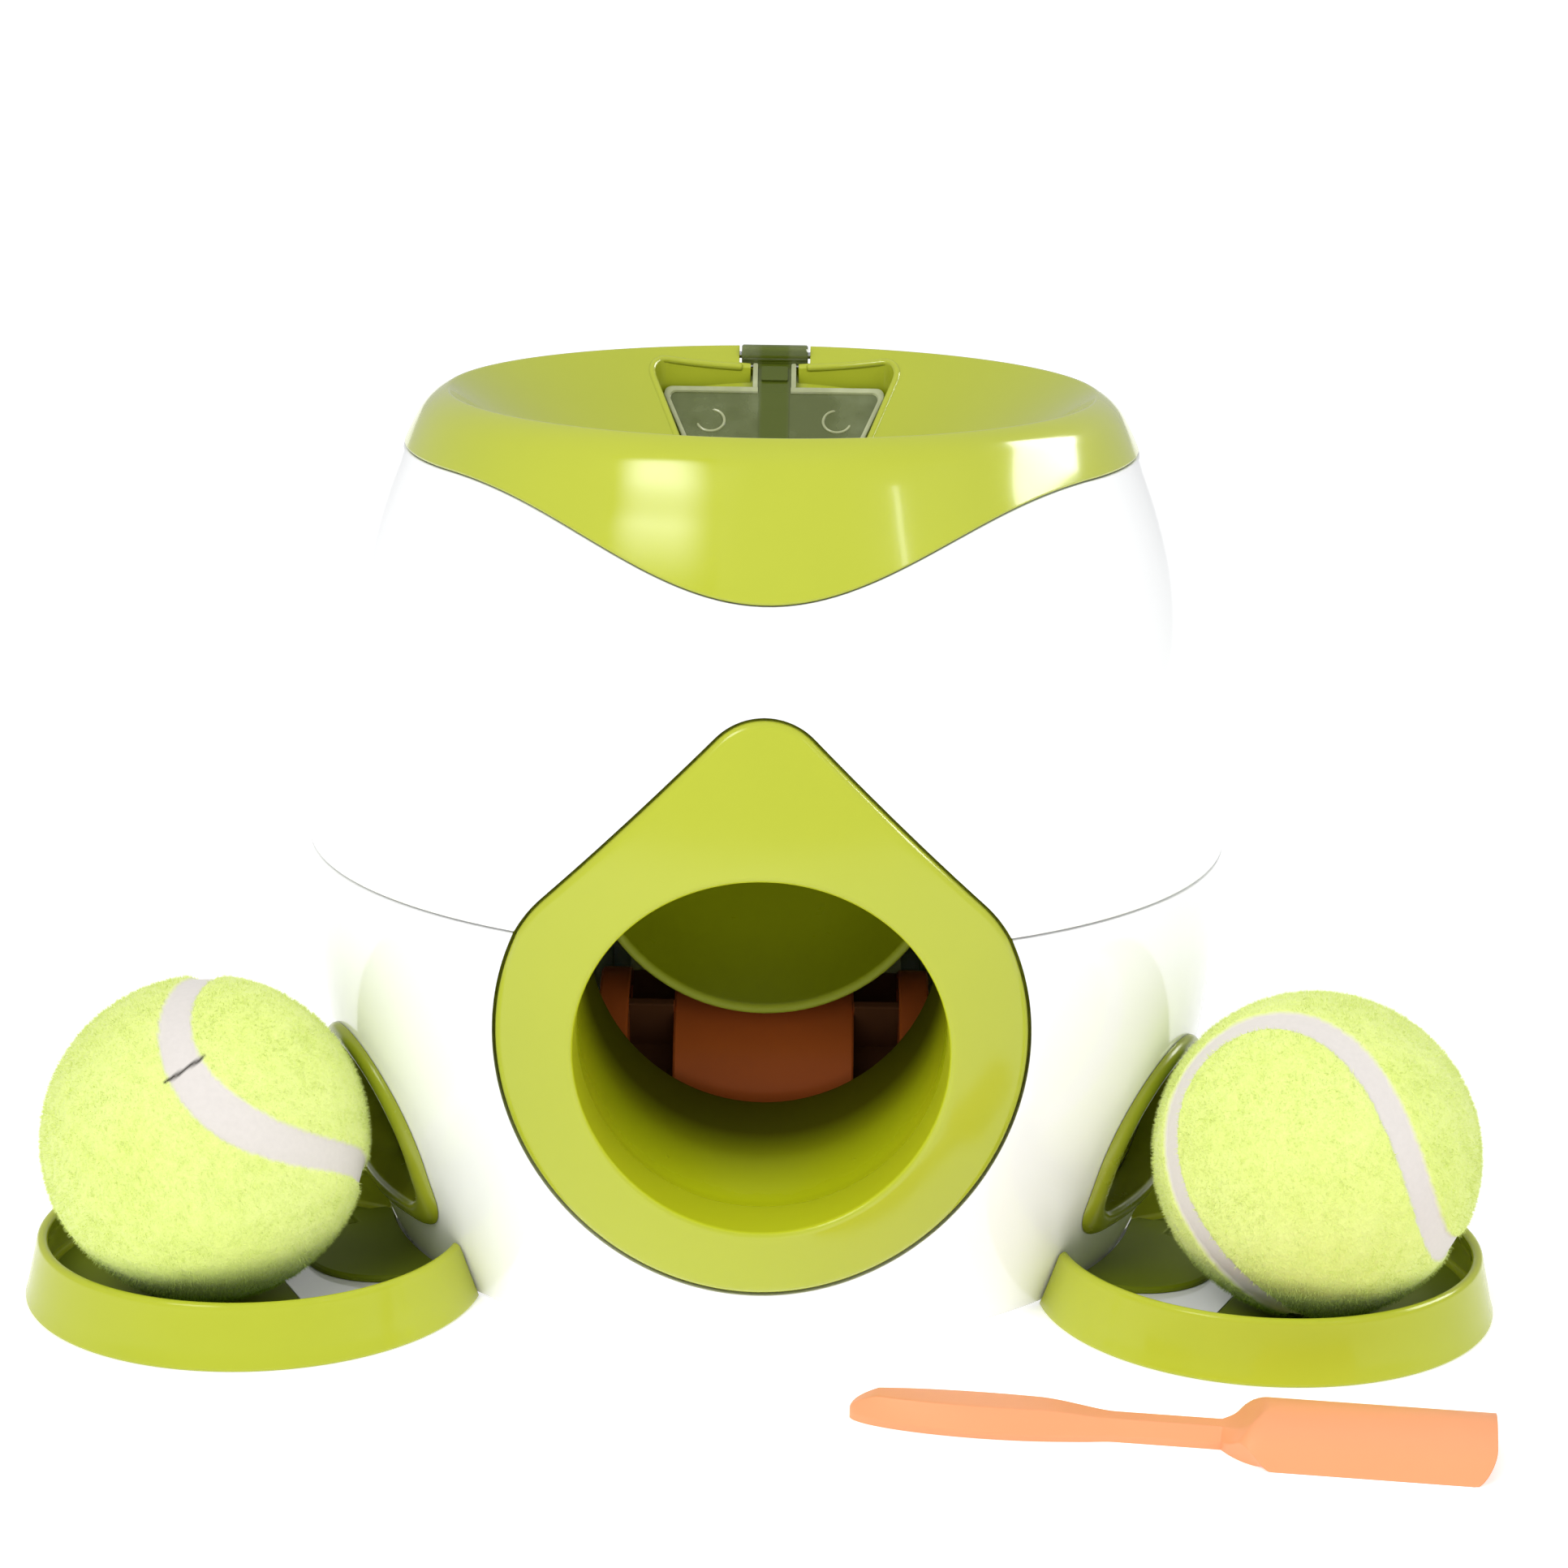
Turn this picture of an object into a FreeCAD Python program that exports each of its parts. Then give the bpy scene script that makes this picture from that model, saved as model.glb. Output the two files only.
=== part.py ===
"""Fetch-and-treat ball dispenser: funnel top, ball slide, treat wheel, trays and balls.

Millimetres. +Z is up, -Y is the front, and the origin is on the floor under the
middle of the barrel-shaped body.
"""
import FreeCAD
import Part
import math
import os

V = FreeCAD.Vector
UP = V(0, 0, 1)
ORIGIN = V(0, 0, 0)

# Body: a barrel whose side is one circular arc
BELLY_R = 92.0
BELLY_Z = 78.0
BARREL_ARC = 185.0
FOOT_PROUD = 0.8
FLOOR = 2.5
WALL = 3.0
PARTING_Z = 82.5
LIP_H = 2.4
LEDGE_W = 2.0
LEDGE_T = 2.0
FIT_GAP = 0.15
CUT_REACH = 20.0

# Funnel
CREST_Z = 171.7
SHOULDER_W = 8.6
SHOULDER_H = 10.9
SHOULDER_BULGE = 1.75
BOWL_SLOPE = 0.84
BOWL_WALL = 3.2
SKIRT = 1.6
SKIRT_DROP = 17.0
SKIRT_WAVE_INSET = 11.8
WAVE_POINTS = 9
COLLAR_H = 4.5

# Ball, and the slack round it in each thing that it rolls through
BALL_R = 31.75
FELT_T = 3.0
CORE_T = 3.4
THROAT_SLACK = 2.25
CHUTE_SLACK = 2.75
SLIDE_SLACK = 2.55

# Throat, front opening and chute
THROAT_WALL = 2.0
THROAT_LENGTH = 32.0
THROAT_LIP = 1.5
CHUTE_WALL = 2.0
CHUTE_TILT = 9.3
CHUTE_LEG_X = 19.0
CHUTE_LEG_T = 3.0
CHUTE_LEG_W = 8.0
OPENING_SILL_Z = 26.7
FRAME_BAND = 14.7
FRAME_LIFT = 1.1
FRAME_INSET = 1.9
FRAME_TIP_R = 12.0
FRAME_PROUD = 0.4
FRAME_FLANGE = 2.5
FRAME_FLANGE_T = 1.8
FRAME_GAP = 0.6
FRAME_COLLAR = 14.0

# Slide that the ball lands on
SLIDE_WALL = 2.0
SLIDE_TILT = 15.0
SLIDE_LIP_Z = 52.8
SLIDE_SIDE = 8.0
SLIDE_AHEAD = 18.0
SLIDE_BEHIND = 2.0

# Shelf that carries the throat and the hopper
SHELF_T = 2.5
SHELF_OPEN = 18.0
FLANGE_T = 2.0
FLANGE_LAP = 4.0

# Treat wheel, its shaft and brackets
WHEEL_Y = -10.0
WHEEL_R = 21.0
WHEEL_GAP = 0.8
WHEEL_TO_CHUTE = 2.0
WHEEL_DRUM_R = 19.0
WHEEL_CORE_R = 9.0
WHEEL_RING_T = 4.0
DRUM_HALF_W = 18.0
POCKET_W = 9.0
RING_W = 6.0
VANES = 6
VANE_T = 1.8
VANE_SINK = 0.3
SHAFT_R = 2.0
SHAFT_CLEAR = 0.05
SHAFT_SNUG = 0.015
SHAFT_END = 1.0
BUSH_WALL = 1.6
BRACKET_GAP = 1.5
BRACKET_T = 3.5
BRACKET_W = 11.0
BRACKET_FOOT = 24.0
BRACKET_FOOT_T = 2.5

# Hopper
HOPPER_HALF = 27.0
HOPPER_AWAY = 2.0
HOPPER_WALL = 1.6
HOPPER_TO_WHEEL = 3.5
HOPPER_MOUTH_Z = 19.0
HOPPER_MOUTH_H = 17.0
HOPPER_BEND_Z = 50.0
HOPPER_BEND_H = 16.0
DIVIDER_T = 2.0

# Hopper lid and its hinge
LID_HALF_TOP = 24.0
LID_HALF_LOW = 17.0
LID_FROM_CREST = 10.0
LID_FROM_THROAT = 4.8
LID_T = 2.0
LID_SINK = 1.0
LID_PLAY = 0.05
LID_GAP = 0.5
LID_SEAT = 1.7
RECESS_EDGE = 2.2
NECK_HALF = 4.6
NOTCH_HALF = 6.8
HINGE_FROM_CREST = 1.6
HINGE_SINK = 0.6
HINGE_R = 2.2
PIN_R = 1.0
PIN_GRIP = 2.7

# Side outlets, in a local frame with X outward and Y along the wall
SIDE_TURN = -25.0
OUTLET_R = 27.0
OUTLET_LOW_Z = 13.5
OUTLET_RISE = 10.0
OUTLET_CORNER = 7.0
OUTLET_LAP = 2.0
OUTLET_RIM = 4.5
OUTLET_PROUD = 2.0
OUTLET_DEPTH = 6.0

# Treat troughs, from the wheel to the side outlets
TROUGH_BACK = 7.0
TROUGH_DROP = 6.0
TROUGH_W = 24.0
TROUGH_H = 13.0
TROUGH_WALL = 1.6
TROUGH_LEG_AT = 0.5
TROUGH_LEG_W = 10.0
TROUGH_LEG_T = 2.4

# Trays, their runners under the landing pads, and the balls in them
TRAY_OUT = 34.3
TRAY_R = 44.6
TRAY_LEAN = 2.7
TRAY_H = 12.4
TRAY_WALL = 2.2
TRAY_FLOOR = 2.2
TRAY_GAP = 0.5
TONGUE_HALF = 18.0
TONGUE_SHORT = 3.8
TONGUE_T = 1.3
TONGUE_GAP = 0.35
PAD_R = 14.6
PAD_OUT = 8.0
PAD_T = 1.2
PAD_LAP = 4.0
BALL_AWAY = 2.4
BALL_SWING = 3.4
BALL_SEAT = 0.02

# Posts, screws and feet
POST_R = 4.2
POST_BORE = 3.0
POST_WEB = 4.0
POST_AWAY = 5.0
BODY_BOSS_H = 10.0
RIB_T = 2.0
SLIDE_POST_AWAY = 9.7
SLIDE_POST_PITCH = 20.0
SLIDE_POST_FROM_REAR = 4.0
SLIDE_POST_RISE = 20.0
LUG_T = 3.0
SCREW_R = 1.5
SCREW_HEAD_R = 2.7
SCREW_HEAD_H = 2.0
SCREW_CLEAR = 0.05
SCREW_BITE = 7.0
SCREW_SPARE = 0.5
FUNNEL_SCREW_AZIMUTHS = (45.0, 135.0, 225.0, 315.0)
FUNNEL_BOSS_R = 3.6
HOPPER_EAR = 7.0
HOPPER_SCREW_INSET = 7.0
FOOT_R = 7.0
FOOT_INSET = 14.0
FOOT_SINK = 1.2
FOOT_AZIMUTHS = (20.0, 160.0, 200.0, 340.0)

# Scoop, in a local frame with X along its length and its hollow side down
SCOOP_LENGTH = 115.0
SCOOP_BLADE = 48.0
SCOOP_W = 21.8
SCOOP_DEPTH = 8.5
SCOOP_WALL = 1.5
SCOOP_CORNER = 3.5
SCOOP_SHOULDER = 8.0
SCOOP_HIP = 1.6
SCOOP_NECK_W = 6.4
SCOOP_NECK_T = 4.0
SCOOP_NECK_LAP = 4.0
SCOOP_GRIP_W = 12.4
SCOOP_GRIP_T = 5.2
SCOOP_GRIP = 48.0
SCOOP_X = 17.0
SCOOP_AHEAD = 14.0
SCOOP_TURN = -8.0


def barrel_r(z, offset=0.0):
    """Radius of the barrel, grown by offset, at height z."""
    reach = BARREL_ARC + offset
    return BELLY_R - BARREL_ARC + math.sqrt(reach ** 2 - (z - BELLY_Z) ** 2)


# Heights and radii that follow from the values above
LOW_Z = FOOT_PROUD
FLOOR_TOP_Z = LOW_Z + FLOOR
PAD_Z = FLOOR_TOP_Z + SCREW_BITE
SHOULDER_Z = CREST_Z - SHOULDER_H
SHELL_TOP_Z = SHOULDER_Z - FIT_GAP
CREST_R = barrel_r(SHOULDER_Z) - SHOULDER_W
SKIRT_WAVE_X = barrel_r(SHOULDER_Z) - SKIRT_WAVE_INSET
THROAT_R = BALL_R + THROAT_SLACK
THROAT_OUT_R = THROAT_R + THROAT_WALL
CHUTE_R = BALL_R + CHUTE_SLACK
SLIDE_R = BALL_R + SLIDE_SLACK
OPENING_Z = OPENING_SILL_Z + CHUTE_R
OPENING_Y = -barrel_r(OPENING_SILL_Z)
FRAME_R = CHUTE_R + FRAME_BAND
FRAME_Z = OPENING_Z + FRAME_LIFT
COLLAR_Z = CREST_Z - BOWL_SLOPE * (CREST_R - THROAT_R) - COLLAR_H
FLANGE_Z = COLLAR_Z - FLANGE_T
SHELF_Z = FLANGE_Z - SHELF_T
SHELF_R = THROAT_R + SHELF_OPEN
FUNNEL_SCREW_RADIUS = SHELF_R + FLANGE_LAP
THROAT_Z = COLLAR_Z - THROAT_LENGTH
SLIDE_LIP_Y = WHEEL_Y - SLIDE_AHEAD
SLIDE_REAR_Y = THROAT_OUT_R + SLIDE_BEHIND
CHUTE_REAR_Y = WHEEL_Y - WHEEL_R - WHEEL_TO_CHUTE
POCKET_HALF = DRUM_HALF_W + POCKET_W
WHEEL_HALF = POCKET_HALF + RING_W
BRACKET_X = WHEEL_HALF + BRACKET_GAP
BRACKET_END_X = BRACKET_X + BRACKET_T
BUSH_R = SHAFT_R + BUSH_WALL
HOPPER_FRONT_Y = SLIDE_REAR_Y + SLIDE_WALL + HOPPER_AWAY
HOPPER_REAR_Y = math.sqrt((barrel_r(SHELF_Z, -WALL) - 1) ** 2 - (HOPPER_HALF + HOPPER_WALL) ** 2)
HOPPER_MOUTH_Y = WHEEL_Y + WHEEL_R + HOPPER_TO_WHEEL
LID_TOP_Y = CREST_R - LID_FROM_CREST
LID_LOW_Y = THROAT_R + LID_FROM_THROAT
HINGE_Y = CREST_R - HINGE_FROM_CREST
OUTLET_Z = OUTLET_LOW_Z + OUTLET_RISE
OUTLET_SILL_Z = OUTLET_LOW_Z + OUTLET_RIM
TRAY_X = barrel_r(0) + TRAY_OUT
TONGUE_END = TRAY_X - TONGUE_SHORT
TONGUE_TOP_Z = LOW_Z + TONGUE_T
SLOT_TOP_Z = TONGUE_TOP_Z + FIT_GAP
PAD_X = barrel_r(0) + PAD_OUT
BODY_POST_R = barrel_r(LOW_Z) - WALL - LEDGE_W - 2 * FIT_GAP - POST_R
CHUTE_POST_X = CHUTE_R + CHUTE_WALL + POST_R + POST_AWAY
HOPPER_POST_X = HOPPER_HALF + HOPPER_WALL + POST_R + POST_AWAY
SLIDE_POST_X = SLIDE_R + SLIDE_WALL + SLIDE_POST_AWAY
SLIDE_POST_REAR_Y = SLIDE_REAR_Y - SLIDE_POST_FROM_REAR
SLIDE_POST_YS = (SLIDE_POST_REAR_Y - SLIDE_POST_PITCH, SLIDE_POST_REAR_Y)
FOOT_RING = barrel_r(LOW_Z) - FOOT_INSET
SCOOP_BLADE_X = SCOOP_LENGTH - SCOOP_BLADE


def slide_floor_z(y):
    """Height of the slide's floor line at a depth y."""
    return SLIDE_LIP_Z + (y - SLIDE_LIP_Y) * math.tan(math.radians(SLIDE_TILT))


WHEEL_Z = slide_floor_z(WHEEL_Y) - SLIDE_WALL - (WHEEL_R + WHEEL_GAP) / math.cos(math.radians(SLIDE_TILT))
SLIDE_POST_Z = slide_floor_z(SLIDE_POST_YS[0]) + SLIDE_POST_RISE


def barrel_edge(z0, z1, offset=0.0):
    """The barrel's side in the XZ plane, from z0 to z1."""
    zm = (z0 + z1) / 2
    ends = [V(barrel_r(z, offset), 0, z) for z in (z0, zm, z1)]
    return Part.Arc(*ends).toShape()


def line(a, b):
    return Part.LineSegment(a, b).toShape()


def turned(edges):
    """A solid turned about Z from a closed outline in the XZ plane."""
    face = Part.Face(Part.Wire(Part.sortEdges(edges)[0]))
    return face.revolve(ORIGIN, UP, 360)


def turned_polygon(points):
    corners = [V(r, 0, z) for r, z in points]
    return turned([line(a, b) for a, b in zip(corners, corners[1:] + corners[:1])])


def barrel(offset, z0, z1):
    """The barrel's full round between two heights."""
    low, high = V(barrel_r(z0, offset), 0, z0), V(barrel_r(z1, offset), 0, z1)
    foot, head = V(0, 0, z0), V(0, 0, z1)
    return turned([line(foot, low), barrel_edge(z0, z1, offset), line(high, head), line(head, foot)])


def layer(inside, outside, z0=LOW_Z, z1=SHELL_TOP_Z):
    """The barrel between two offsets of its side."""
    return barrel(outside, z0, z1).cut(barrel(inside, z0 - 1, z1 + 1))


def cylinder(radius, height, base, along=UP):
    return Part.makeCylinder(radius, height, base, along)


def box(low, high):
    size = [b - a for a, b in zip(low, high)]
    return Part.makeBox(*size, V(*low))


def prism(points, along):
    """A straight solid whose end face has these corners."""
    return Part.Face(Part.makePolygon(points + points[:1])).extrude(along)


def mirrored(shape):
    """The left-hand twin of a right-hand shape."""
    return shape.mirror(ORIGIN, V(1, 0, 0))


def to_side(shape):
    """Turn a shape from the local side frame to the right-hand side."""
    result = shape.copy()
    result.rotate(ORIGIN, UP, SIDE_TURN)
    return result


def on_ring(radius, azimuth):
    """A floor point at an azimuth measured from the front."""
    turn = math.radians(azimuth)
    return V(radius * math.sin(turn), -radius * math.cos(turn), 0)


def fused(shapes):
    return shapes[0].multiFuse(shapes[1:]).removeSplitter()


def save(node, shape):
    shape.exportStep("parts/" + node + ".step")


# ---------------------------------------------------------------- outlines

def above_wave(drop=0.0):
    """Everything above the skirt's wavy lower edge, front and back alike."""
    step = 2 * SKIRT_WAVE_X / (2 * WAVE_POINTS)
    points = []
    for i in range(2 * WAVE_POINTS + 1):
        x = -SKIRT_WAVE_X + i * step
        dip = SKIRT_DROP * (1 + math.cos(math.pi * x / SKIRT_WAVE_X)) / 2
        points.append(V(x, 0, SHOULDER_Z - dip - drop))
    curve = Part.BSplineCurve()
    curve.interpolate(Points=points, InitialTangent=V(1, 0, 0), FinalTangent=V(1, 0, 0))
    reach, top = BELLY_R + CUT_REACH, CREST_Z + CUT_REACH
    ends = [V(reach, 0, points[-1].z), V(reach, 0, top), V(-reach, 0, top), V(-reach, 0, points[0].z)]
    sides = [line(a, b) for a, b in zip([points[-1]] + ends, ends + [points[0]])]
    face = Part.Face(Part.Wire([curve.toShape()] + sides))
    face.translate(V(0, -reach, 0))
    return face.extrude(V(0, 2 * reach, 0))


def teardrop(grow, y0, y1):
    """The front frame's outline, grown by a margin and drawn out along Y."""
    radius, tip = FRAME_R + grow, FRAME_TIP_R + grow
    near = radius - FRAME_INSET
    apex = FRAME_Z + near * math.sqrt(2)
    turn = math.radians(45) - math.acos(near / radius)
    hip = V(radius * math.cos(turn), 0, FRAME_Z + radius * math.sin(turn))
    tip_z = apex - tip * math.sqrt(2)
    cheek = V(tip / math.sqrt(2), 0, tip_z + tip / math.sqrt(2))
    left_hip, left_cheek = V(-hip.x, 0, hip.z), V(-cheek.x, 0, cheek.z)
    edges = [
        Part.Arc(hip, V(0, 0, FRAME_Z - radius), left_hip).toShape(),
        line(left_hip, left_cheek),
        Part.Arc(left_cheek, V(0, 0, tip_z + tip), cheek).toShape(),
        line(cheek, hip),
    ]
    face = Part.Face(Part.Wire(edges))
    face.translate(V(0, y0, 0))
    return face.extrude(V(0, y1 - y0, 0))


def arch(shrink):
    """A side outlet's outline, shrunk by a margin and drawn out through the wall along local X."""
    x0, x1 = barrel_r(OUTLET_LOW_Z) - OUTLET_R / 2, BELLY_R + 10
    radius, low = OUTLET_R - shrink, OUTLET_LOW_Z + shrink
    corner = OUTLET_CORNER - shrink / 2
    bend = corner * (1 - math.sqrt(0.5))
    edges = [
        Part.Arc(V(x0, radius, OUTLET_Z), V(x0, 0, OUTLET_Z + radius), V(x0, -radius, OUTLET_Z)).toShape(),
        line(V(x0, -radius, OUTLET_Z), V(x0, -radius, low + corner)),
        Part.Arc(V(x0, -radius, low + corner), V(x0, bend - radius, low + bend),
                 V(x0, corner - radius, low)).toShape(),
        line(V(x0, corner - radius, low), V(x0, radius - corner, low)),
        Part.Arc(V(x0, radius - corner, low), V(x0, radius - bend, low + bend),
                 V(x0, radius, low + corner)).toShape(),
        line(V(x0, radius, low + corner), V(x0, radius, OUTLET_Z)),
    ]
    return Part.Face(Part.Wire(edges)).extrude(V(x1 - x0, 0, 0))


def bowl_z(r):
    """Height of the funnel's inside at a radius."""
    return CREST_Z - BOWL_SLOPE * (CREST_R - r)


def keystone(grow, z0, z1):
    """The lid's plan, wide at the rear, grown by a margin and drawn out upward."""
    lean = (LID_HALF_TOP - LID_HALF_LOW) / (LID_TOP_Y - LID_LOW_Y)
    rear, front = LID_TOP_Y + grow, LID_LOW_Y - min(grow, RECESS_EDGE)
    wide = LID_HALF_TOP + grow + lean * grow
    slim = wide - lean * (rear - front)
    corners = [V(wide, rear, z0), V(-wide, rear, z0), V(-slim, front, z0), V(slim, front, z0)]
    return prism(corners, V(0, 0, z1 - z0))


def bowl_slab(depth, thickness, half=BELLY_R):
    """A flat slab parallel to the rear of the bowl, its top sunk by depth."""
    top = bowl_z(0) - depth
    y0, y1 = THROAT_R / 2, CREST_R + CUT_REACH
    corners = [V(-half, y, top + BOWL_SLOPE * y - drop) for y, drop in
               ((y0, 0), (y1, 0), (y1, thickness), (y0, thickness))]
    return prism(corners, V(2 * half, 0, 0))


# ---------------------------------------------------------------- screws

def screw(tip, head_z):
    """A pan-head screw that points up and has its head at head_z."""
    shank = cylinder(SCREW_R, tip.z - head_z, V(tip.x, tip.y, head_z))
    head = cylinder(SCREW_HEAD_R, SCREW_HEAD_H, V(tip.x, tip.y, head_z - SCREW_HEAD_H))
    return shank.fuse(head).removeSplitter()


def screw_down(point, top_z):
    """A pan-head screw that points down and has its head on top_z."""
    shank = cylinder(SCREW_R, SCREW_BITE, V(point.x, point.y, top_z - SCREW_BITE))
    head = cylinder(SCREW_HEAD_R, SCREW_HEAD_H, V(point.x, point.y, top_z))
    return shank.fuse(head).removeSplitter()


def screw_hole(point, z0, z1):
    return cylinder(SCREW_R + SCREW_CLEAR, z1 - z0, V(point.x, point.y, z0))


def body_points():
    """Two posts beside the chute and two beside the hopper, just inside the wall."""
    points = []
    for x, way in ((CHUTE_POST_X, -1), (HOPPER_POST_X, 1)):
        y = way * math.sqrt(BODY_POST_R ** 2 - x ** 2)
        points += [V(x, y, 0), V(-x, y, 0)]
    return points


def slide_points():
    return [V(side * SLIDE_POST_X, y, 0) for side in (-1, 1) for y in SLIDE_POST_YS]


def funnel_points():
    return [on_ring(FUNNEL_SCREW_RADIUS, azimuth) for azimuth in FUNNEL_SCREW_AZIMUTHS]


def hopper_points():
    x = HOPPER_HALF + HOPPER_WALL + SCREW_HEAD_R
    ys = (HOPPER_FRONT_Y + HOPPER_SCREW_INSET, HOPPER_REAR_Y - HOPPER_SCREW_INSET)
    return [V(side * x, y, 0) for side in (-1, 1) for y in ys]


def bracket_points():
    x = BRACKET_X + BRACKET_T / 2
    reach = BRACKET_FOOT / 2 - SCREW_HEAD_R
    return [V(side * x, WHEEL_Y + way * reach, 0) for side in (-1, 1) for way in (-1, 1)]


def foot_points():
    return [on_ring(FOOT_RING, azimuth) for azimuth in FOOT_AZIMUTHS]


# ---------------------------------------------------------------- shells

def post(point, z0, z1, radius=POST_R):
    return cylinder(radius, z1 - z0, V(point.x, point.y, z0))


def body_post_rib(point):
    """A web from an upper boss to the wall beside it."""
    out = V(point.x, point.y, 0).normalize()
    side = V(-out.y, out.x, 0) * (RIB_T / 2)
    inner, outer = BODY_POST_R, barrel_r(PARTING_Z) - WALL / 2
    corners = [out * inner + side, out * outer + side, out * outer - side, out * inner - side]
    z0 = PARTING_Z + LIP_H + FIT_GAP
    return prism([V(c.x, c.y, z0) for c in corners], V(0, 0, BODY_BOSS_H - LIP_H - FIT_GAP))


def tongue(grow=0.0):
    """The runner under the right-hand tray, in the local side frame, grown by a margin."""
    half = TONGUE_HALF + grow
    start = barrel_r(LOW_Z) - 3 * WALL
    return box((start, -half, LOW_Z - grow), (TONGUE_END, half, TONGUE_TOP_Z + grow))


def both_tongues(grow=0.0):
    right = to_side(tongue(grow))
    return [right, mirrored(right)]


def front_cut():
    """The frame's hole in the wall, which ends ahead of the body posts."""
    nearest = min(p.y for p in body_points())
    return teardrop(FRAME_GAP, -BELLY_R - 5, nearest - POST_R - WALL)


def outlet_cut():
    return to_side(arch(OUTLET_LAP - FIT_GAP))


def lower_shell():
    """The lower wall, which stands on the base plate by its inner ledge."""
    wall = layer(-WALL, 0, LOW_Z, PARTING_Z)
    lip = layer(-WALL, -WALL / 2 - FIT_GAP, PARTING_Z - 1, PARTING_Z + LIP_H)
    ledge = layer(-WALL - LEDGE_W, -WALL / 2, FLOOR_TOP_Z, FLOOR_TOP_Z + LEDGE_T)
    cuts = [front_cut(), outlet_cut(), mirrored(outlet_cut())] + both_tongues(FIT_GAP)
    return fused([wall, lip, ledge]).cut(Part.makeCompound(cuts))


def base_plate():
    """The floor of the body, with its posts and the two tray runners."""
    disc = barrel(-WALL - FIT_GAP, LOW_Z, FLOOR_TOP_Z)
    posts = [post(p, FLOOR_TOP_Z - 1, PARTING_Z) for p in body_points()]
    posts += [post(p, FLOOR_TOP_Z - 1, SLIDE_POST_Z) for p in slide_points()]
    pads = [post(p, FLOOR_TOP_Z - 1, PAD_Z) for p in bracket_points()]
    shape = fused([disc] + posts + pads + both_tongues())
    cuts = []
    for p in body_points():
        cuts.append(post(p, LOW_Z - 1, PARTING_Z - POST_WEB, POST_BORE))
        cuts.append(screw_hole(p, LOW_Z, PARTING_Z + 1))
    for p in slide_points():
        cuts.append(screw_hole(p, SLIDE_POST_Z - SCREW_BITE, SLIDE_POST_Z + 1))
    for p in bracket_points():
        cuts.append(screw_hole(p, FLOOR_TOP_Z, PAD_Z + 1))
    for p in foot_points():
        cuts.append(cylinder(FOOT_R + FIT_GAP, FOOT_SINK, V(p.x, p.y, LOW_Z)))
    return shape.cut(Part.makeCompound(cuts))


def upper_shell():
    hollow = barrel(-WALL, PARTING_Z - 1, SHELL_TOP_Z + 1)
    wall = barrel(0, PARTING_Z, SHELL_TOP_Z).cut(hollow)
    skin = layer(-SKIRT - FIT_GAP, 5, PARTING_Z, SHELL_TOP_Z + 1).common(above_wave(FIT_GAP))
    rebate = layer(-WALL - 1, -WALL / 2, PARTING_Z - 1, PARTING_Z + LIP_H + FIT_GAP)
    shelf = barrel(-WALL / 2, SHELF_Z, SHELF_Z + SHELF_T).cut(
        cylinder(SHELF_R, SHELF_T + 2, V(0, 0, SHELF_Z - 1)))
    duct = box((-HOPPER_HALF, HOPPER_FRONT_Y, SHELF_Z - 1),
               (HOPPER_HALF, HOPPER_REAR_Y, SHELF_Z + SHELF_T + 1))
    bosses = [post(p, PARTING_Z, PARTING_Z + BODY_BOSS_H) for p in body_points()]
    bosses += [body_post_rib(p) for p in body_points()]
    shape = fused([wall.cut(rebate), shelf.cut(duct)] + bosses)
    cuts = [skin, front_cut()]
    cuts += [screw_hole(p, PARTING_Z - 1, PARTING_Z + SCREW_BITE) for p in body_points()]
    cuts += [screw_hole(p, SHELF_Z - 1, SHELF_Z + SHELF_T + 1) for p in funnel_points()]
    cuts += [screw_hole(p, SHELF_Z - 1, SHELF_Z + SHELF_T + 1) for p in hopper_points()]
    return shape.cut(Part.makeCompound(cuts))


# ---------------------------------------------------------------- funnel

def funnel_profile():
    """Outline of the funnel ring: bowl, shoulder, skirt and collar."""
    crest = V(CREST_R, 0, CREST_Z)
    shoulder = V(barrel_r(SHOULDER_Z), 0, SHOULDER_Z)
    hem_z = SHOULDER_Z - SKIRT_DROP - 1
    hem_out, hem_in = V(barrel_r(hem_z), 0, hem_z), V(barrel_r(hem_z, -SKIRT), 0, hem_z)
    roof_z = SHOULDER_Z + 1.5
    roof = V(barrel_r(roof_z, -SKIRT), 0, roof_z)
    ridge_r = CREST_R - 1.0
    ridge = V(ridge_r, 0, bowl_z(ridge_r) - BOWL_WALL)
    collar_r = THROAT_OUT_R
    neck = V(collar_r, 0, bowl_z(collar_r) - BOWL_WALL)
    collar_out, collar_in = V(collar_r, 0, COLLAR_Z), V(THROAT_R, 0, COLLAR_Z)
    lip = V(THROAT_R, 0, bowl_z(THROAT_R))
    chord = shoulder - crest
    over = crest + chord / 2 + V(-chord.z, 0, chord.x).normalize() * SHOULDER_BULGE
    return [
        line(lip, crest), Part.Arc(crest, over, shoulder).toShape(),
        barrel_edge(hem_z, SHOULDER_Z), line(hem_out, hem_in),
        barrel_edge(hem_z, roof_z, -SKIRT), line(roof, ridge), line(ridge, neck),
        line(neck, collar_out), line(collar_out, collar_in), line(collar_in, lip),
    ]


def under_bowl():
    """The round below the middle of the bowl's wall."""
    rim = CREST_R - 2
    low = COLLAR_Z - 5
    middle = BOWL_WALL / 2
    return turned_polygon([(0, low), (rim, low), (rim, bowl_z(rim) - middle), (0, bowl_z(0) - middle)])


def hinge_z():
    return bowl_z(HINGE_Y) - HINGE_SINK


def hinge_bar(radius, half):
    return cylinder(radius, 2 * half, V(-half, HINGE_Y, hinge_z()), V(1, 0, 0))


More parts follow.
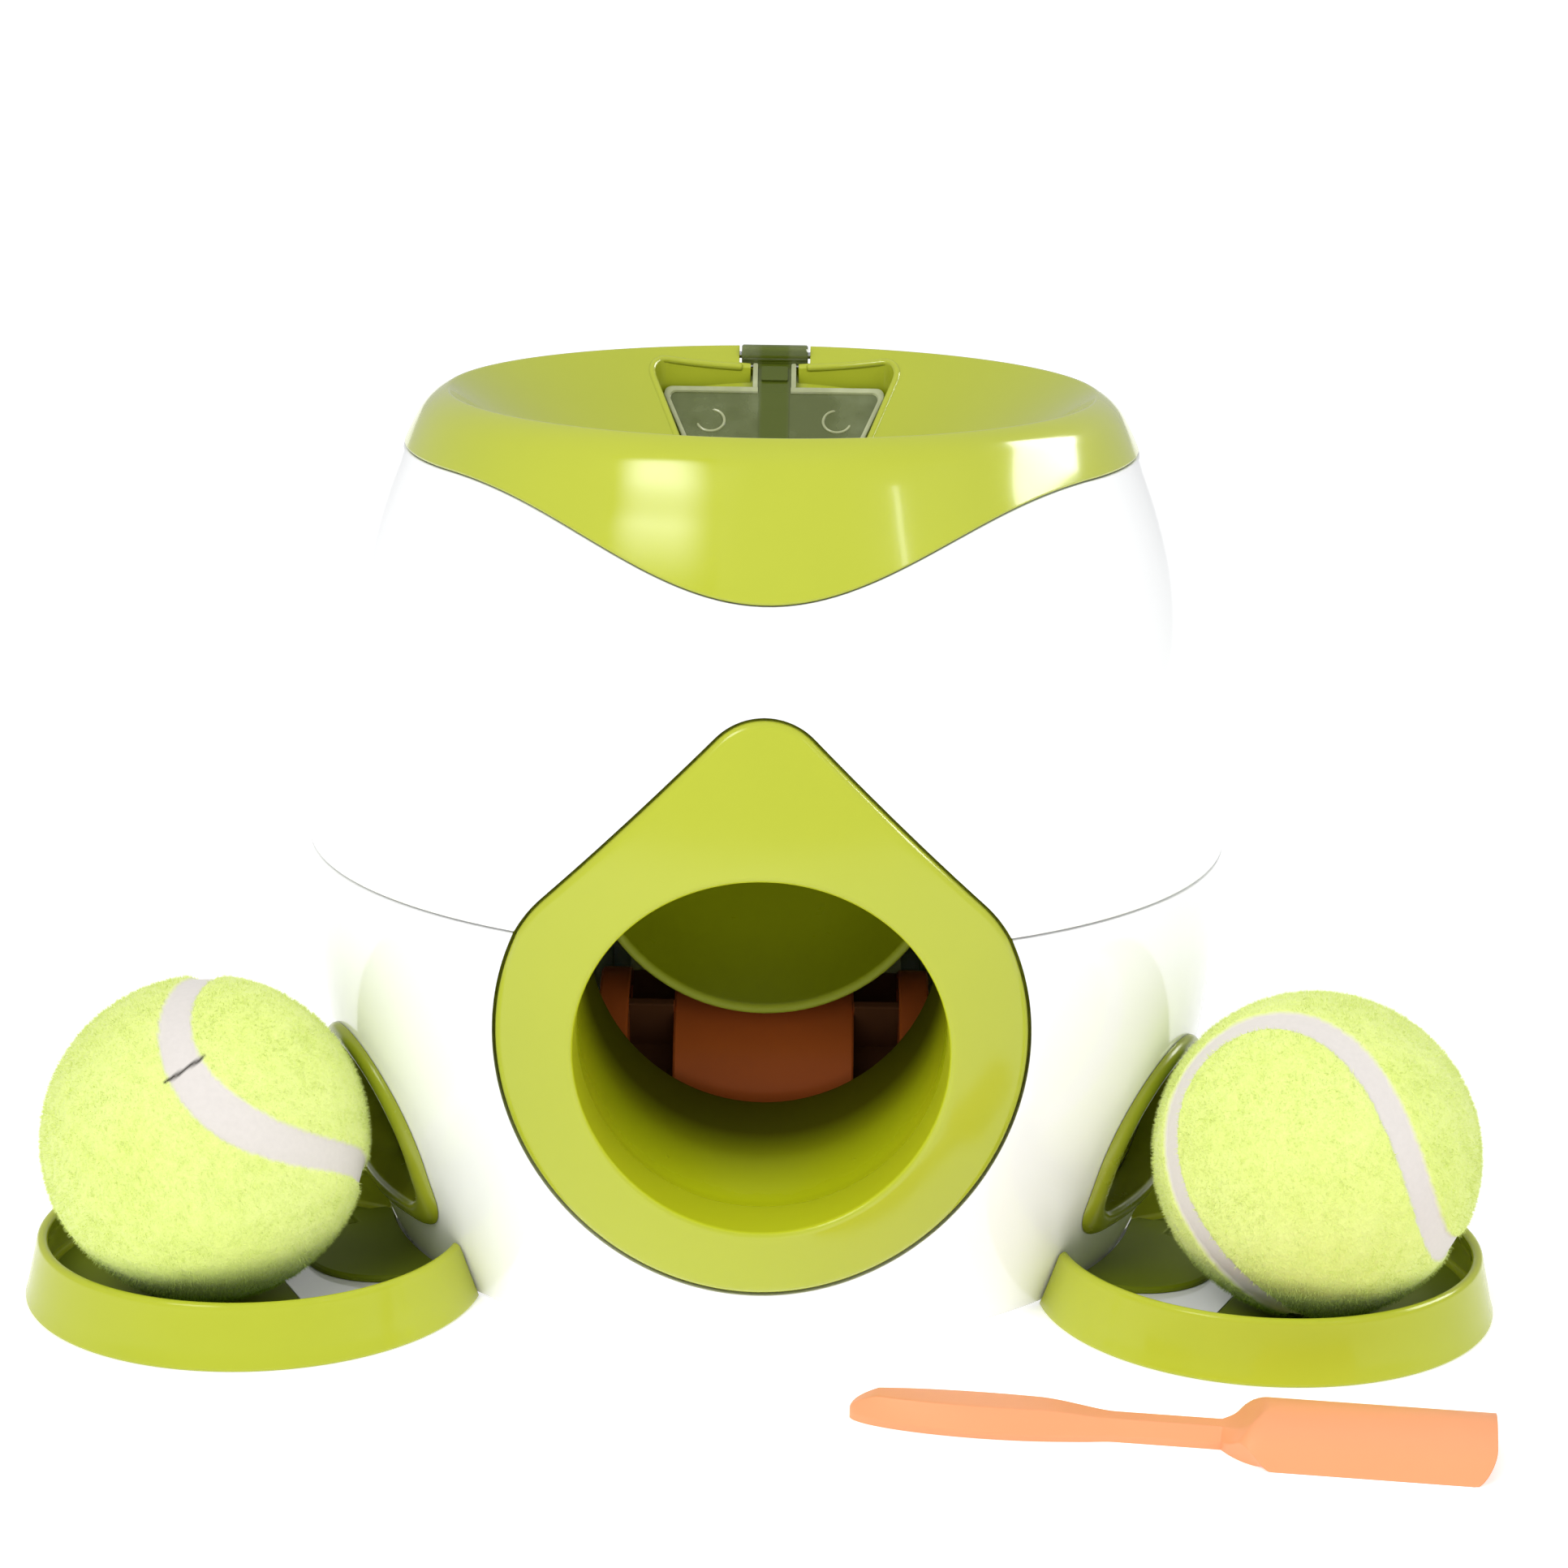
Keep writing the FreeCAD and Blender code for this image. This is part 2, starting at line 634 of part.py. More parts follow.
def funnel_top():
    ring = turned(funnel_profile())
    below = barrel(5, COLLAR_Z - 10, SHOULDER_Z + 0.01).cut(above_wave()).cut(
        cylinder(CREST_R, CREST_Z, ORIGIN))
    ring = ring.cut(below)
    bosses = [post(p, COLLAR_Z, CREST_Z, FUNNEL_BOSS_R) for p in funnel_points()]
    bosses = [boss.common(under_bowl()) for boss in bosses]
    duct_outer = keystone(RECESS_EDGE, COLLAR_Z, CREST_Z).common(under_bowl())
    seat = keystone(RECESS_EDGE, COLLAR_Z, CREST_Z + 5).common(bowl_slab(-20, 20 + LID_SINK + LID_T))
    mouth = keystone(-LID_SEAT, COLLAR_Z - 10, CREST_Z + 5)
    neck = box((-NECK_HALF - LID_GAP, LID_TOP_Y, COLLAR_Z), (NECK_HALF + LID_GAP, HINGE_Y, CREST_Z + 5))
    neck = neck.common(bowl_slab(-20, 20 + LID_SINK + LID_T))
    notch_z = hinge_z() - HINGE_R - LID_GAP
    notch = box((-NOTCH_HALF - LID_GAP, HINGE_Y - HINGE_R - LID_GAP, notch_z),
                (NOTCH_HALF + LID_GAP, CREST_R + 8, CREST_Z + 5))
    shape = fused([ring, duct_outer] + bosses)
    cuts = [seat, mouth, neck, notch, hinge_bar(PIN_R, NOTCH_HALF + PIN_GRIP),
            cylinder(THROAT_R, CREST_Z, V(0, 0, COLLAR_Z - 20))]
    cuts += [screw_hole(p, SHELF_Z, COLLAR_Z + SCREW_BITE) for p in funnel_points()]
    return shape.cut(Part.makeCompound(cuts))


def hopper_lid():
    slab = bowl_slab(LID_SINK, LID_T - LID_PLAY)
    panel = keystone(-LID_GAP, COLLAR_Z, CREST_Z).common(slab)
    neck = box((-NECK_HALF, LID_TOP_Y - 3, COLLAR_Z), (NECK_HALF, HINGE_Y, CREST_Z)).common(slab)
    barrel_bar = hinge_bar(HINGE_R, NOTCH_HALF)
    shape = fused([panel, neck, barrel_bar])
    return shape.cut(hinge_bar(PIN_R + SHAFT_CLEAR, NOTCH_HALF + 1))


def lid_hinge_pin():
    return hinge_bar(PIN_R, NOTCH_HALF + PIN_GRIP)


def duct_room():
    """What the treats' way from the lid to the hopper takes out of the throat and its flange."""
    half = LID_HALF_TOP + RECESS_EDGE + 2 * LID_GAP
    return box((-half, THROAT_OUT_R + LID_GAP, FLANGE_Z - 1), (half, BELLY_R, COLLAR_Z + 1))


def throat_lip():
    lip_t = FLANGE_T / 2
    return cylinder(THROAT_OUT_R + THROAT_LIP, lip_t, V(0, 0, COLLAR_Z - lip_t))


def ball_throat():
    """The tube under the funnel's hole, which hangs by its lip."""
    tube = cylinder(THROAT_OUT_R, THROAT_LENGTH, V(0, 0, THROAT_Z))
    bore = cylinder(THROAT_R, CREST_Z, ORIGIN)
    return fused([tube, throat_lip()]).cut(Part.makeCompound([bore, duct_room()]))


def throat_flange():
    """The ring that holds the throat's lip up against the funnel's collar."""
    flange = cylinder(FUNNEL_SCREW_RADIUS, FLANGE_T, V(0, 0, FLANGE_Z))
    tabs = [post(p, FLANGE_Z, COLLAR_Z) for p in funnel_points()]
    cuts = [cylinder(THROAT_OUT_R, CREST_Z, ORIGIN), throat_lip(), duct_room()]
    cuts += [screw_hole(p, FLANGE_Z - 1, COLLAR_Z + 1) for p in funnel_points()]
    return fused([flange] + tabs).cut(Part.makeCompound(cuts))


# ---------------------------------------------------------------- ball path

def front_frame():
    y0, y1 = -BELLY_R - 5, -BELLY_R / 2
    face = teardrop(0, y0, y1).common(layer(-WALL - FIT_GAP - FRAME_FLANGE_T, FRAME_PROUD))
    flange = teardrop(FRAME_FLANGE, y0, y1).common(
        layer(-WALL - FIT_GAP - FRAME_FLANGE_T, -WALL - FIT_GAP, FLOOR_TOP_Z + FIT_GAP))
    collar = cylinder(CHUTE_R + CHUTE_WALL, collar_end_y() + BELLY_R, V(0, -BELLY_R, OPENING_Z), V(0, 1, 0))
    collar = collar.common(barrel(-WALL, FLOOR_TOP_Z, PARTING_Z + BALL_R))
    hole = cylinder(CHUTE_R, BELLY_R, V(0, -BELLY_R - 10, OPENING_Z), V(0, 1, 0))
    return fused([face, flange, collar]).cut(hole)


def collar_end_y():
    """Where the frame's collar ends and the chute begins."""
    return OPENING_Y + FRAME_COLLAR


def chute_axis_z(y):
    """Height of the tilted chute's axis at a depth y."""
    return OPENING_Z + (y - OPENING_Y) * math.tan(math.radians(CHUTE_TILT))


def chute_bar(radius):
    """A long cylinder along the tilted chute's axis."""
    turn = math.radians(CHUTE_TILT)
    y0 = -BELLY_R - 5
    return cylinder(radius, BELLY_R, V(0, y0, chute_axis_z(y0)), V(0, math.cos(turn), math.sin(turn)))


def chute_legs():
    """Four short legs from the floor to the underside of the chute."""
    middle_r = CHUTE_R + CHUTE_WALL / 2
    drop = math.sqrt(middle_r ** 2 - CHUTE_LEG_X ** 2)
    ys = (collar_end_y() + 1.5 * CHUTE_LEG_W, CHUTE_REAR_Y - CHUTE_LEG_W)
    legs = []
    for side in (-1, 1):
        for y in ys:
            x = side * CHUTE_LEG_X
            low = (x - CHUTE_LEG_T / 2, y - CHUTE_LEG_W / 2, FLOOR_TOP_Z)
            legs.append(box(low, (x + CHUTE_LEG_T / 2, y + CHUTE_LEG_W / 2, chute_axis_z(y) - drop)))
    return legs


def front_chute():
    """A half pipe from the treat wheel down to the front opening."""
    reach = CHUTE_R + CHUTE_WALL + 1
    rim_z = chute_axis_z(CHUTE_REAR_Y)
    keep = box((-reach, collar_end_y() + FIT_GAP, 0), (reach, CHUTE_REAR_Y, rim_z))
    pipe = chute_bar(CHUTE_R + CHUTE_WALL).cut(chute_bar(CHUTE_R)).common(keep)
    legs = [leg.common(barrel(-WALL - FIT_GAP, FLOOR_TOP_Z, PARTING_Z)) for leg in chute_legs()]
    return fused([pipe] + legs)


def slide_hull(radius, y0, y1):
    """A trough with a round bottom and upright sides, rising to the rear."""
    turn = math.radians(SLIDE_TILT)
    along = V(0, math.cos(turn), math.sin(turn)) * ((y1 - y0) / math.cos(turn))
    z = slide_floor_z(y0) + SLIDE_R
    right, left = V(radius, y0, z), V(-radius, y0, z)
    rise = V(0, 0, SLIDE_SIDE)
    edges = [
        Part.Arc(left, V(0, y0, z - radius), right).toShape(),
        line(right, right + rise), line(right + rise, left + rise), line(left + rise, left),
    ]
    return Part.Face(Part.Wire(edges)).extrude(along)


def ball_slide():
    outer = slide_hull(SLIDE_R + SLIDE_WALL, SLIDE_LIP_Y, SLIDE_REAR_Y + SLIDE_WALL)
    inner = slide_hull(SLIDE_R, SLIDE_LIP_Y - 10, SLIDE_REAR_Y)
    top_z = THROAT_Z - 2 * FIT_GAP
    roof = box((-BELLY_R, -BELLY_R, top_z), (BELLY_R, BELLY_R, CREST_Z))
    opening = box((-SLIDE_R, SLIDE_LIP_Y - 1, slide_floor_z(SLIDE_REAR_Y) + SLIDE_R - 1),
                  (SLIDE_R, SLIDE_REAR_Y, CREST_Z))
    lugs = []
    for p in slide_points():
        inner_x = math.copysign(SLIDE_R * 0.8, p.x)
        low, high = sorted((inner_x, p.x + math.copysign(POST_R, p.x)))
        lugs.append(box((low, p.y - POST_R, SLIDE_POST_Z), (high, p.y + POST_R, SLIDE_POST_Z + LUG_T)))
    cuts = [inner, roof, opening]
    cuts += [screw_hole(p, SLIDE_POST_Z - 1, SLIDE_POST_Z + LUG_T + 1) for p in slide_points()]
    return fused([outer] + lugs).cut(Part.makeCompound(cuts))


# ---------------------------------------------------------------- treat wheel

def wheel_round(radius, x0, x1):
    return cylinder(radius, x1 - x0, V(x0, WHEEL_Y, WHEEL_Z), V(1, 0, 0))


def vane(x0, x1, radius, azimuth):
    blade = box((x0, WHEEL_Y, WHEEL_Z - VANE_T / 2), (x1, WHEEL_Y + radius, WHEEL_Z + VANE_T / 2))
    blade.rotate(V(0, WHEEL_Y, WHEEL_Z), V(1, 0, 0), azimuth)
    return blade


def treat_wheel():
    """A plain drum between two pocket rings, which paddles divide and join to the core."""
    pieces = [wheel_round(WHEEL_DRUM_R, -DRUM_HALF_W, DRUM_HALF_W)]
    pieces.append(wheel_round(WHEEL_CORE_R, -WHEEL_HALF, WHEEL_HALF))
    for side in (-1, 1):
        x0, x1 = sorted((side * POCKET_HALF, side * WHEEL_HALF))
        ring = wheel_round(WHEEL_R, x0, x1).cut(wheel_round(WHEEL_R - WHEEL_RING_T, x0 - 1, x1 + 1))
        pieces.append(ring)
        v0, v1 = sorted((side * DRUM_HALF_W, side * WHEEL_HALF))
        for i in range(VANES):
            pieces.append(vane(v0, v1, WHEEL_R - VANE_SINK, 360.0 * i / VANES))
    return fused(pieces).cut(wheel_round(SHAFT_R + SHAFT_SNUG, -WHEEL_HALF - 1, WHEEL_HALF + 1))


def wheel_shaft():
    reach = BRACKET_END_X + SHAFT_END
    return wheel_round(SHAFT_R, -reach, reach)


def shaft_bushes():
    bore = wheel_round(SHAFT_R + SHAFT_CLEAR, BRACKET_X - 1, BRACKET_END_X + 1)
    bush = wheel_round(BUSH_R, BRACKET_X, BRACKET_END_X).cut(bore)
    return Part.makeCompound([bush, mirrored(bush)])


def wheel_bracket():
    """The right-hand upright that carries the wheel's shaft."""
    x0, x1 = BRACKET_X, BRACKET_END_X
    toe = POST_R - BRACKET_T / 2
    half = BRACKET_W / 2
    upright = box((x0, WHEEL_Y - half, PAD_Z), (x1, WHEEL_Y + half, WHEEL_Z))
    eye = wheel_round(half, x0, x1)
    foot = box((x0, WHEEL_Y - BRACKET_FOOT / 2, PAD_Z),
               (x1 + toe, WHEEL_Y + BRACKET_FOOT / 2, PAD_Z + BRACKET_FOOT_T))
    cuts = [wheel_round(BUSH_R, x0 - 1, x1 + 1)]
    cuts += [screw_hole(p, PAD_Z - 1, PAD_Z + BRACKET_FOOT_T + 1) for p in bracket_points() if p.x > 0]
    return fused([upright, eye, foot]).cut(Part.makeCompound(cuts))


# ---------------------------------------------------------------- hopper and troughs

def hopper_form(s):
    """Side view of the hopper, shrunk by a wall s and drawn out along X."""
    mouth_top = HOPPER_MOUTH_Z + HOPPER_MOUTH_H
    bend_top = HOPPER_BEND_Z + HOPPER_BEND_H
    corners = [
        (HOPPER_FRONT_Y + s, SHELF_Z + s), (HOPPER_REAR_Y - s, SHELF_Z + s),
        (HOPPER_REAR_Y - s, HOPPER_BEND_Z + s), (HOPPER_MOUTH_Y - s, HOPPER_MOUTH_Z + s),
        (HOPPER_MOUTH_Y - s, mouth_top - s), (HOPPER_FRONT_Y + s, bend_top - s),
    ]
    half = HOPPER_HALF + HOPPER_WALL - s
    return prism([V(-half, y, z) for y, z in corners], V(2 * half, 0, 0))


def hopper_divider():
    """The fin that splits the treats between the two pocket rings."""
    low, high = HOPPER_MOUTH_Z, HOPPER_MOUTH_Z + HOPPER_MOUTH_H
    corners = [(HOPPER_MOUTH_Y, low), (HOPPER_MOUTH_Y, high),
               (HOPPER_FRONT_Y, HOPPER_BEND_Z + HOPPER_BEND_H), (HOPPER_FRONT_Y, high)]
    half = DIVIDER_T / 2
    return prism([V(-half, y, z) for y, z in corners], V(DIVIDER_T, 0, 0)).common(hopper_form(0))


def hopper_bin():
    ear_x = HOPPER_HALF + HOPPER_EAR
    ears = box((-ear_x, HOPPER_FRONT_Y, SHELF_Z - FLANGE_T), (ear_x, HOPPER_REAR_Y, SHELF_Z))
    shape = hopper_form(0).fuse(ears).cut(hopper_form(HOPPER_WALL))
    shape = shape.fuse(hopper_divider()).removeSplitter()
    shape = shape.common(barrel(-WALL - 2 * FIT_GAP, FLOOR_TOP_Z, SHELF_Z))
    return shape.cut(Part.makeCompound([screw_hole(p, SHELF_Z - 5, SHELF_Z + 1) for p in hopper_points()]))


def treat_trough():
    """The right-hand trough from the treat wheel to its outlet."""
    turn = math.radians(SIDE_TURN)
    start = V(BRACKET_X, WHEEL_Y + TROUGH_BACK, WHEEL_Z - TROUGH_DROP)
    finish = V(BELLY_R * math.cos(turn), BELLY_R * math.sin(turn), OUTLET_SILL_Z)
    run = finish - start
    side = V(-run.y, run.x, 0).normalize()

    def bar(half, low, high):
        corners = [(half, low), (half, high), (-half, high), (-half, low)]
        return prism([start + side * a + UP * b for a, b in corners], run)

    outer = bar(TROUGH_W / 2, -TROUGH_WALL, TROUGH_H)
    inner = bar(TROUGH_W / 2 - TROUGH_WALL, 0, TROUGH_H + 1)
    clear_x = BRACKET_END_X + SHAFT_END + 2 * FIT_GAP
    room = box((clear_x, -BELLY_R, FLOOR_TOP_Z), (BELLY_R, BELLY_R, PARTING_Z))
    room = room.common(barrel(-OUTLET_DEPTH - FIT_GAP, FLOOR_TOP_Z, PARTING_Z))
    middle = start + run * TROUGH_LEG_AT
    half_w, half_t = TROUGH_LEG_W / 2, TROUGH_LEG_T / 2
    leg = box((-half_w, -half_t, FLOOR_TOP_Z), (half_w, half_t, middle.z - TROUGH_WALL / 2))
    leg.rotate(ORIGIN, UP, math.degrees(math.atan2(side.y, side.x)))
    leg.translate(V(middle.x, middle.y, 0))
    return fused([outer.cut(inner).common(room), leg.cut(bar(TROUGH_W / 2, 0, TROUGH_H))])


def side_frame():
    """The right-hand outlet ring."""
    rim = arch(0).common(layer(FIT_GAP, OUTLET_PROUD))
    sleeve = arch(OUTLET_LAP).common(layer(-OUTLET_DEPTH, OUTLET_PROUD))
    return to_side(fused([rim, sleeve]).cut(arch(OUTLET_RIM)))


# ---------------------------------------------------------------- trays, balls, scoop

def landing_pad():
    """The raised tongue of the tray under its outlet, in the local side frame."""
    half = TONGUE_HALF + PAD_LAP
    low, high = TRAY_FLOOR / 2, SLOT_TOP_Z + PAD_T
    bridge = box((PAD_X - PAD_R, -half, low), (PAD_X, half, high))
    return bridge.fuse(cylinder(PAD_R, high - low, V(PAD_X, 0, low)))


def tray():
    """The right-hand tray, open towards the body and slotted for its runner."""
    centre = V(TRAY_X, 0, 0)
    lean = TRAY_LEAN / TRAY_H
    outer = Part.makeCone(TRAY_R, TRAY_R - TRAY_LEAN, TRAY_H, centre)
    low_r = TRAY_R - TRAY_WALL - lean * TRAY_FLOOR
    deep = TRAY_H - TRAY_FLOOR + 1
    inner = Part.makeCone(low_r, low_r - lean * deep, deep, centre + V(0, 0, TRAY_FLOOR))
    slot_half = TONGUE_HALF + TONGUE_GAP
    slot = box((0, -slot_half, -1), (TONGUE_END + TONGUE_GAP, slot_half, SLOT_TOP_Z))
    dish = fused([outer.cut(inner), landing_pad().common(outer)])
    return to_side(dish.cut(Part.makeCompound([slot, barrel(TRAY_GAP, -1, PARTING_Z)])))


def ball_layer(outer, thickness):
    """One hollow layer of the right-hand ball where it lies in its tray."""
    z = TRAY_FLOOR + BALL_R + BALL_SEAT
    turn = math.radians(SIDE_TURN - BALL_SWING)
    reach = barrel_r(z) + BALL_R + BALL_AWAY
    centre = V(reach * math.cos(turn), reach * math.sin(turn), z)
    return Part.makeSphere(outer, centre).cut(Part.makeSphere(outer - thickness, centre))


def ball_felt():
    return ball_layer(BALL_R, FELT_T)


def ball_core():
    return ball_layer(BALL_R - FELT_T, CORE_T)


def scoop_plan():
    """The blade seen from above: round front corners and drawn-in shoulders."""
    half, neck = SCOOP_W / 2, SCOOP_NECK_W / 2
    bend = SCOOP_CORNER * (1 - math.sqrt(0.5))
    neck_p, side_p = V(SCOOP_BLADE_X, neck, 0), V(SCOOP_BLADE_X + SCOOP_SHOULDER, half, 0)
    slant = side_p - neck_p
    hip_p = neck_p + slant / 2 + V(-slant.y, slant.x, 0).normalize() * SCOOP_HIP
    corner_p, end_p = V(SCOOP_LENGTH - SCOOP_CORNER, half, 0), V(SCOOP_LENGTH, half - SCOOP_CORNER, 0)
    bend_p = V(SCOOP_LENGTH - bend, half - bend, 0)
    upper = [
        Part.Arc(neck_p, hip_p, side_p).toShape(), line(side_p, corner_p),
        Part.Arc(corner_p, bend_p, end_p).toShape(),
    ]
    lower = [edge.mirror(ORIGIN, V(0, 1, 0)) for edge in upper]
    ends = [line(end_p, V(end_p.x, -end_p.y, 0)), line(neck_p, V(neck_p.x, -neck_p.y, 0))]
    outline = Part.Wire(Part.sortEdges(upper + lower + ends)[0])
    return Part.Face(outline).extrude(V(0, 0, SCOOP_DEPTH + 1))


def scoop_blade():
    """A round-backed blade, open at its front and hollow below."""
    arc_r = ((SCOOP_W / 2) ** 2 + SCOOP_DEPTH ** 2) / (2 * SCOOP_DEPTH)
    axis = V(SCOOP_BLADE_X, 0, SCOOP_DEPTH - arc_r)
    outer = cylinder(arc_r, SCOOP_BLADE, axis, V(1, 0, 0))
    hollow = cylinder(arc_r - SCOOP_WALL, SCOOP_BLADE, axis + V(SCOOP_SHOULDER, 0, 0), V(1, 0, 0))
    behind, crown_x = SCOOP_BLADE_X - 1, SCOOP_BLADE_X + SCOOP_SHOULDER + SCOOP_WALL
    corners = [V(behind, -SCOOP_W, SCOOP_NECK_T), V(crown_x, -SCOOP_W, SCOOP_DEPTH),
               V(behind, -SCOOP_W, SCOOP_DEPTH + 1)]
    slope = prism(corners, V(0, 2 * SCOOP_W, 0))
    return outer.common(scoop_plan()).cut(slope).cut(hollow)


def scoop():
    """A narrow scoop that lies on the floor with its hollow side down."""
    oval = Part.Ellipse(V(SCOOP_GRIP / 2, 0, 0), SCOOP_GRIP / 2, SCOOP_GRIP_W / 2).toShape()
    grip = Part.Face(Part.Wire([oval])).extrude(V(0, 0, SCOOP_GRIP_T))
    neck = box((SCOOP_GRIP - SCOOP_NECK_LAP, -SCOOP_NECK_W / 2, 0),
               (SCOOP_BLADE_X + 1, SCOOP_NECK_W / 2, SCOOP_NECK_T))
    shape = fused([scoop_blade(), neck, grip])
    shape.rotate(ORIGIN, UP, SCOOP_TURN)
    shape.translate(V(SCOOP_X, -BELLY_R - SCOOP_AHEAD, 0))
    return shape


# ---------------------------------------------------------------- fasteners and feet

def rubber_feet():
    top = LOW_Z + FOOT_SINK
    return Part.makeCompound([cylinder(FOOT_R, top, V(p.x, p.y, 0)) for p in foot_points()])


def body_screws():
    head_z = PARTING_Z - POST_WEB
    tips = [V(p.x, p.y, PARTING_Z + SCREW_BITE - SCREW_SPARE) for p in body_points()]
    return Part.makeCompound([screw(tip, head_z) for tip in tips])


def funnel_screws():
    tips = [V(p.x, p.y, COLLAR_Z + SCREW_BITE - SCREW_SPARE) for p in funnel_points()]
    return Part.makeCompound([screw(tip, SHELF_Z) for tip in tips])


def hopper_screws():
    tips = [V(p.x, p.y, SHELF_Z + SHELF_T) for p in hopper_points()]
    return Part.makeCompound([screw(tip, SHELF_Z - FLANGE_T) for tip in tips])


def slide_screws():
    return Part.makeCompound([screw_down(p, SLIDE_POST_Z + LUG_T) for p in slide_points()])


def bracket_screws():
    return Part.makeCompound([screw_down(p, PAD_Z + BRACKET_FOOT_T) for p in bracket_points()])


def main():
    os.makedirs("parts", exist_ok=True)
    single = [base_plate, lower_shell, upper_shell, funnel_top, hopper_lid, lid_hinge_pin, ball_throat,
              throat_flange, front_frame, front_chute, ball_slide, treat_wheel, wheel_shaft, shaft_bushes,
              hopper_bin, scoop, rubber_feet, body_screws, funnel_screws, hopper_screws,
              slide_screws, bracket_screws]
    for make in single:
        save(make.__name__, make())
    for make in (wheel_bracket, treat_trough, side_frame, tray, ball_felt, ball_core):
        right = make()
        save(make.__name__ + "_right", right)
        save(make.__name__ + "_left", mirrored(right))


main()
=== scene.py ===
"""Fetch-and-treat ball dispenser: moulded shells, funnel, lid, wheel, trays, felt balls and scoop.

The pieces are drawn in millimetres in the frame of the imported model: +Z is up, -Y is the
front, and the origin is on the floor under the middle of the body.
"""
import math

import bpy
import numpy as np
from bpy.props import FloatProperty, FloatVectorProperty, IntProperty, PointerProperty
from mathutils import Euler, Matrix, Vector


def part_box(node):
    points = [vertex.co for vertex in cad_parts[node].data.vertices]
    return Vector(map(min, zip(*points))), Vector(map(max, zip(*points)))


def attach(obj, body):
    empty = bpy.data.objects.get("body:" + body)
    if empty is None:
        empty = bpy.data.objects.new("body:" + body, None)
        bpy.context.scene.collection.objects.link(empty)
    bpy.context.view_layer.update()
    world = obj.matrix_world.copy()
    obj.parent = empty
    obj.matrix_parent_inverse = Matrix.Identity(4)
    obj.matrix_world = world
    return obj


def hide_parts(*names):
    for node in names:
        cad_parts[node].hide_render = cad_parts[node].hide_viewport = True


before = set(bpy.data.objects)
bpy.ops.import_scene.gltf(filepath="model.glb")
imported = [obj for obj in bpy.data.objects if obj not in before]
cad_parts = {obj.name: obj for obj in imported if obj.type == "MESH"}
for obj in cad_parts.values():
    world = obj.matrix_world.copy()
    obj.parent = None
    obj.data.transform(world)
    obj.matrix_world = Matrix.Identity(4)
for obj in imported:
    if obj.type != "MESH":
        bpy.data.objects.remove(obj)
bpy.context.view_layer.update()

bl_info = {
    "name": "Ball dispenser pieces",
    "version": (1, 0, 0),
    "blender": (4, 5, 0),
    "location": "View3D > Sidebar > Dispenser",
    "description": "Builds the finished pieces of a ball and treat dispenser on its CAD frame",
    "category": "Object",
}

MM = 0.001


def node_box(node):
    """Lowest and highest corner of a CAD node, in millimetres."""
    low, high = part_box(node)
    return low / MM, high / MM


# Body
BELLY_R = node_box("lower_shell")[1].x
BELLY_Z = 78.0
BARREL_ARC = 185.0
LOW_Z = node_box("lower_shell")[0].z
PARTING_Z = node_box("upper_shell")[0].z
SHELL_TOP_Z = node_box("upper_shell")[1].z
FLOOR_TOP_Z = 3.3
WALL = 3.0
LIP_H = 2.4
LEDGE = 2.0
FIT_GAP = 0.15
AROUND = 256

# Funnel
CREST_Z = node_box("funnel_top")[1].z
COLLAR_Z = node_box("funnel_top")[0].z
CREST_R = 63.836
SHOULDER_Z = SHELL_TOP_Z + FIT_GAP
SHOULDER_BEND = (69.3, 167.25)
SHOULDER_SLOPES = (20.0, 58.0)
SHOULDER_END_Z = 157.0
BOWL_SLOPE = 0.84
BOWL_WALL = 3.2
SKIRT = 1.6
SKIRT_DROP = 17.0
WAVE_X = 60.636
SHELF_Z = 135.138
SHELF_T = 2.5
SHELF_R = 52.0
THROAT_R = 34.0
THROAT_WALL = 2.0
DUCT_HALF = 27.0
DUCT_WALL = 2.0
MOUTH_INSET = 1.7
MOUTH_DEPTH = 45.0
BOSS_XY = 42.3 / math.sqrt(2) * 1.4
BOSS_R = 3.6
BOSS_H = 25.0

# Front opening, its frame, the chute and the slide
HOLE_R = 34.5
HOLE_Z = 61.2
HOLE_Y = -84.697
FRAME_R = 49.2
FRAME_Z = 62.3
FRAME_INSET = 1.9
TIP_R = 12.0
FRAME_GAP = 0.6
FRAME_PROUD = 0.4
FLANGE = 2.5
FLANGE_T = 1.8
CUT_END_Y = -54.0
CHUTE_START_Y = -70.55
CHUTE_REAR_Y = node_box("front_chute")[1].y
CHUTE_TILT = math.tan(math.radians(9.3))
CHUTE_WALL = 2.0
CHUTE_EASE = 16.0
LEG_X = 19.0
LEG_YS = (-58.7, -41.0)
LEG_HALF = (1.5, 4.0)
LEG_REACH = 35.5
LEG_GAP = 2.0
TROUGH_STEPS = 56
SLIDE_R = 34.3
SLIDE_LIP_Y = -28.0
SLIDE_REAR_Y = 38.0
SLIDE_LIP_Z = 52.8
SLIDE_TILT = math.tan(math.radians(15.0))
SLIDE_SIDE = 8.0
SLIDE_TOP_Z = 109.838
LUG_X = (32.9, 50.2)
LUG_YS = (14.0, 34.0)
LUG_Z = (84.09, 87.09)
LUG_HALF = 4.2

# Wheel; places along its axis are counted from its middle
WHEEL_Y = -10.0
WHEEL_Z = (node_box("treat_wheel")[0].z + node_box("treat_wheel")[1].z) / 2
WHEEL_R = 21.0
WHEEL_HALF = 33.0
WHEEL_STEPS = 144
HUB_R = 9.0
BORE_R = 2.02
DRUM_R = 19.0
DRUM_HALF = 18.0
RING_IN_R = 17.0
RING_START = 27.0
PADDLES = 6
PADDLE_START = 17.9
PADDLE_ROOT = 6.0
PADDLE_TIP_GAP = 0.3
PADDLE_HALF = 0.9

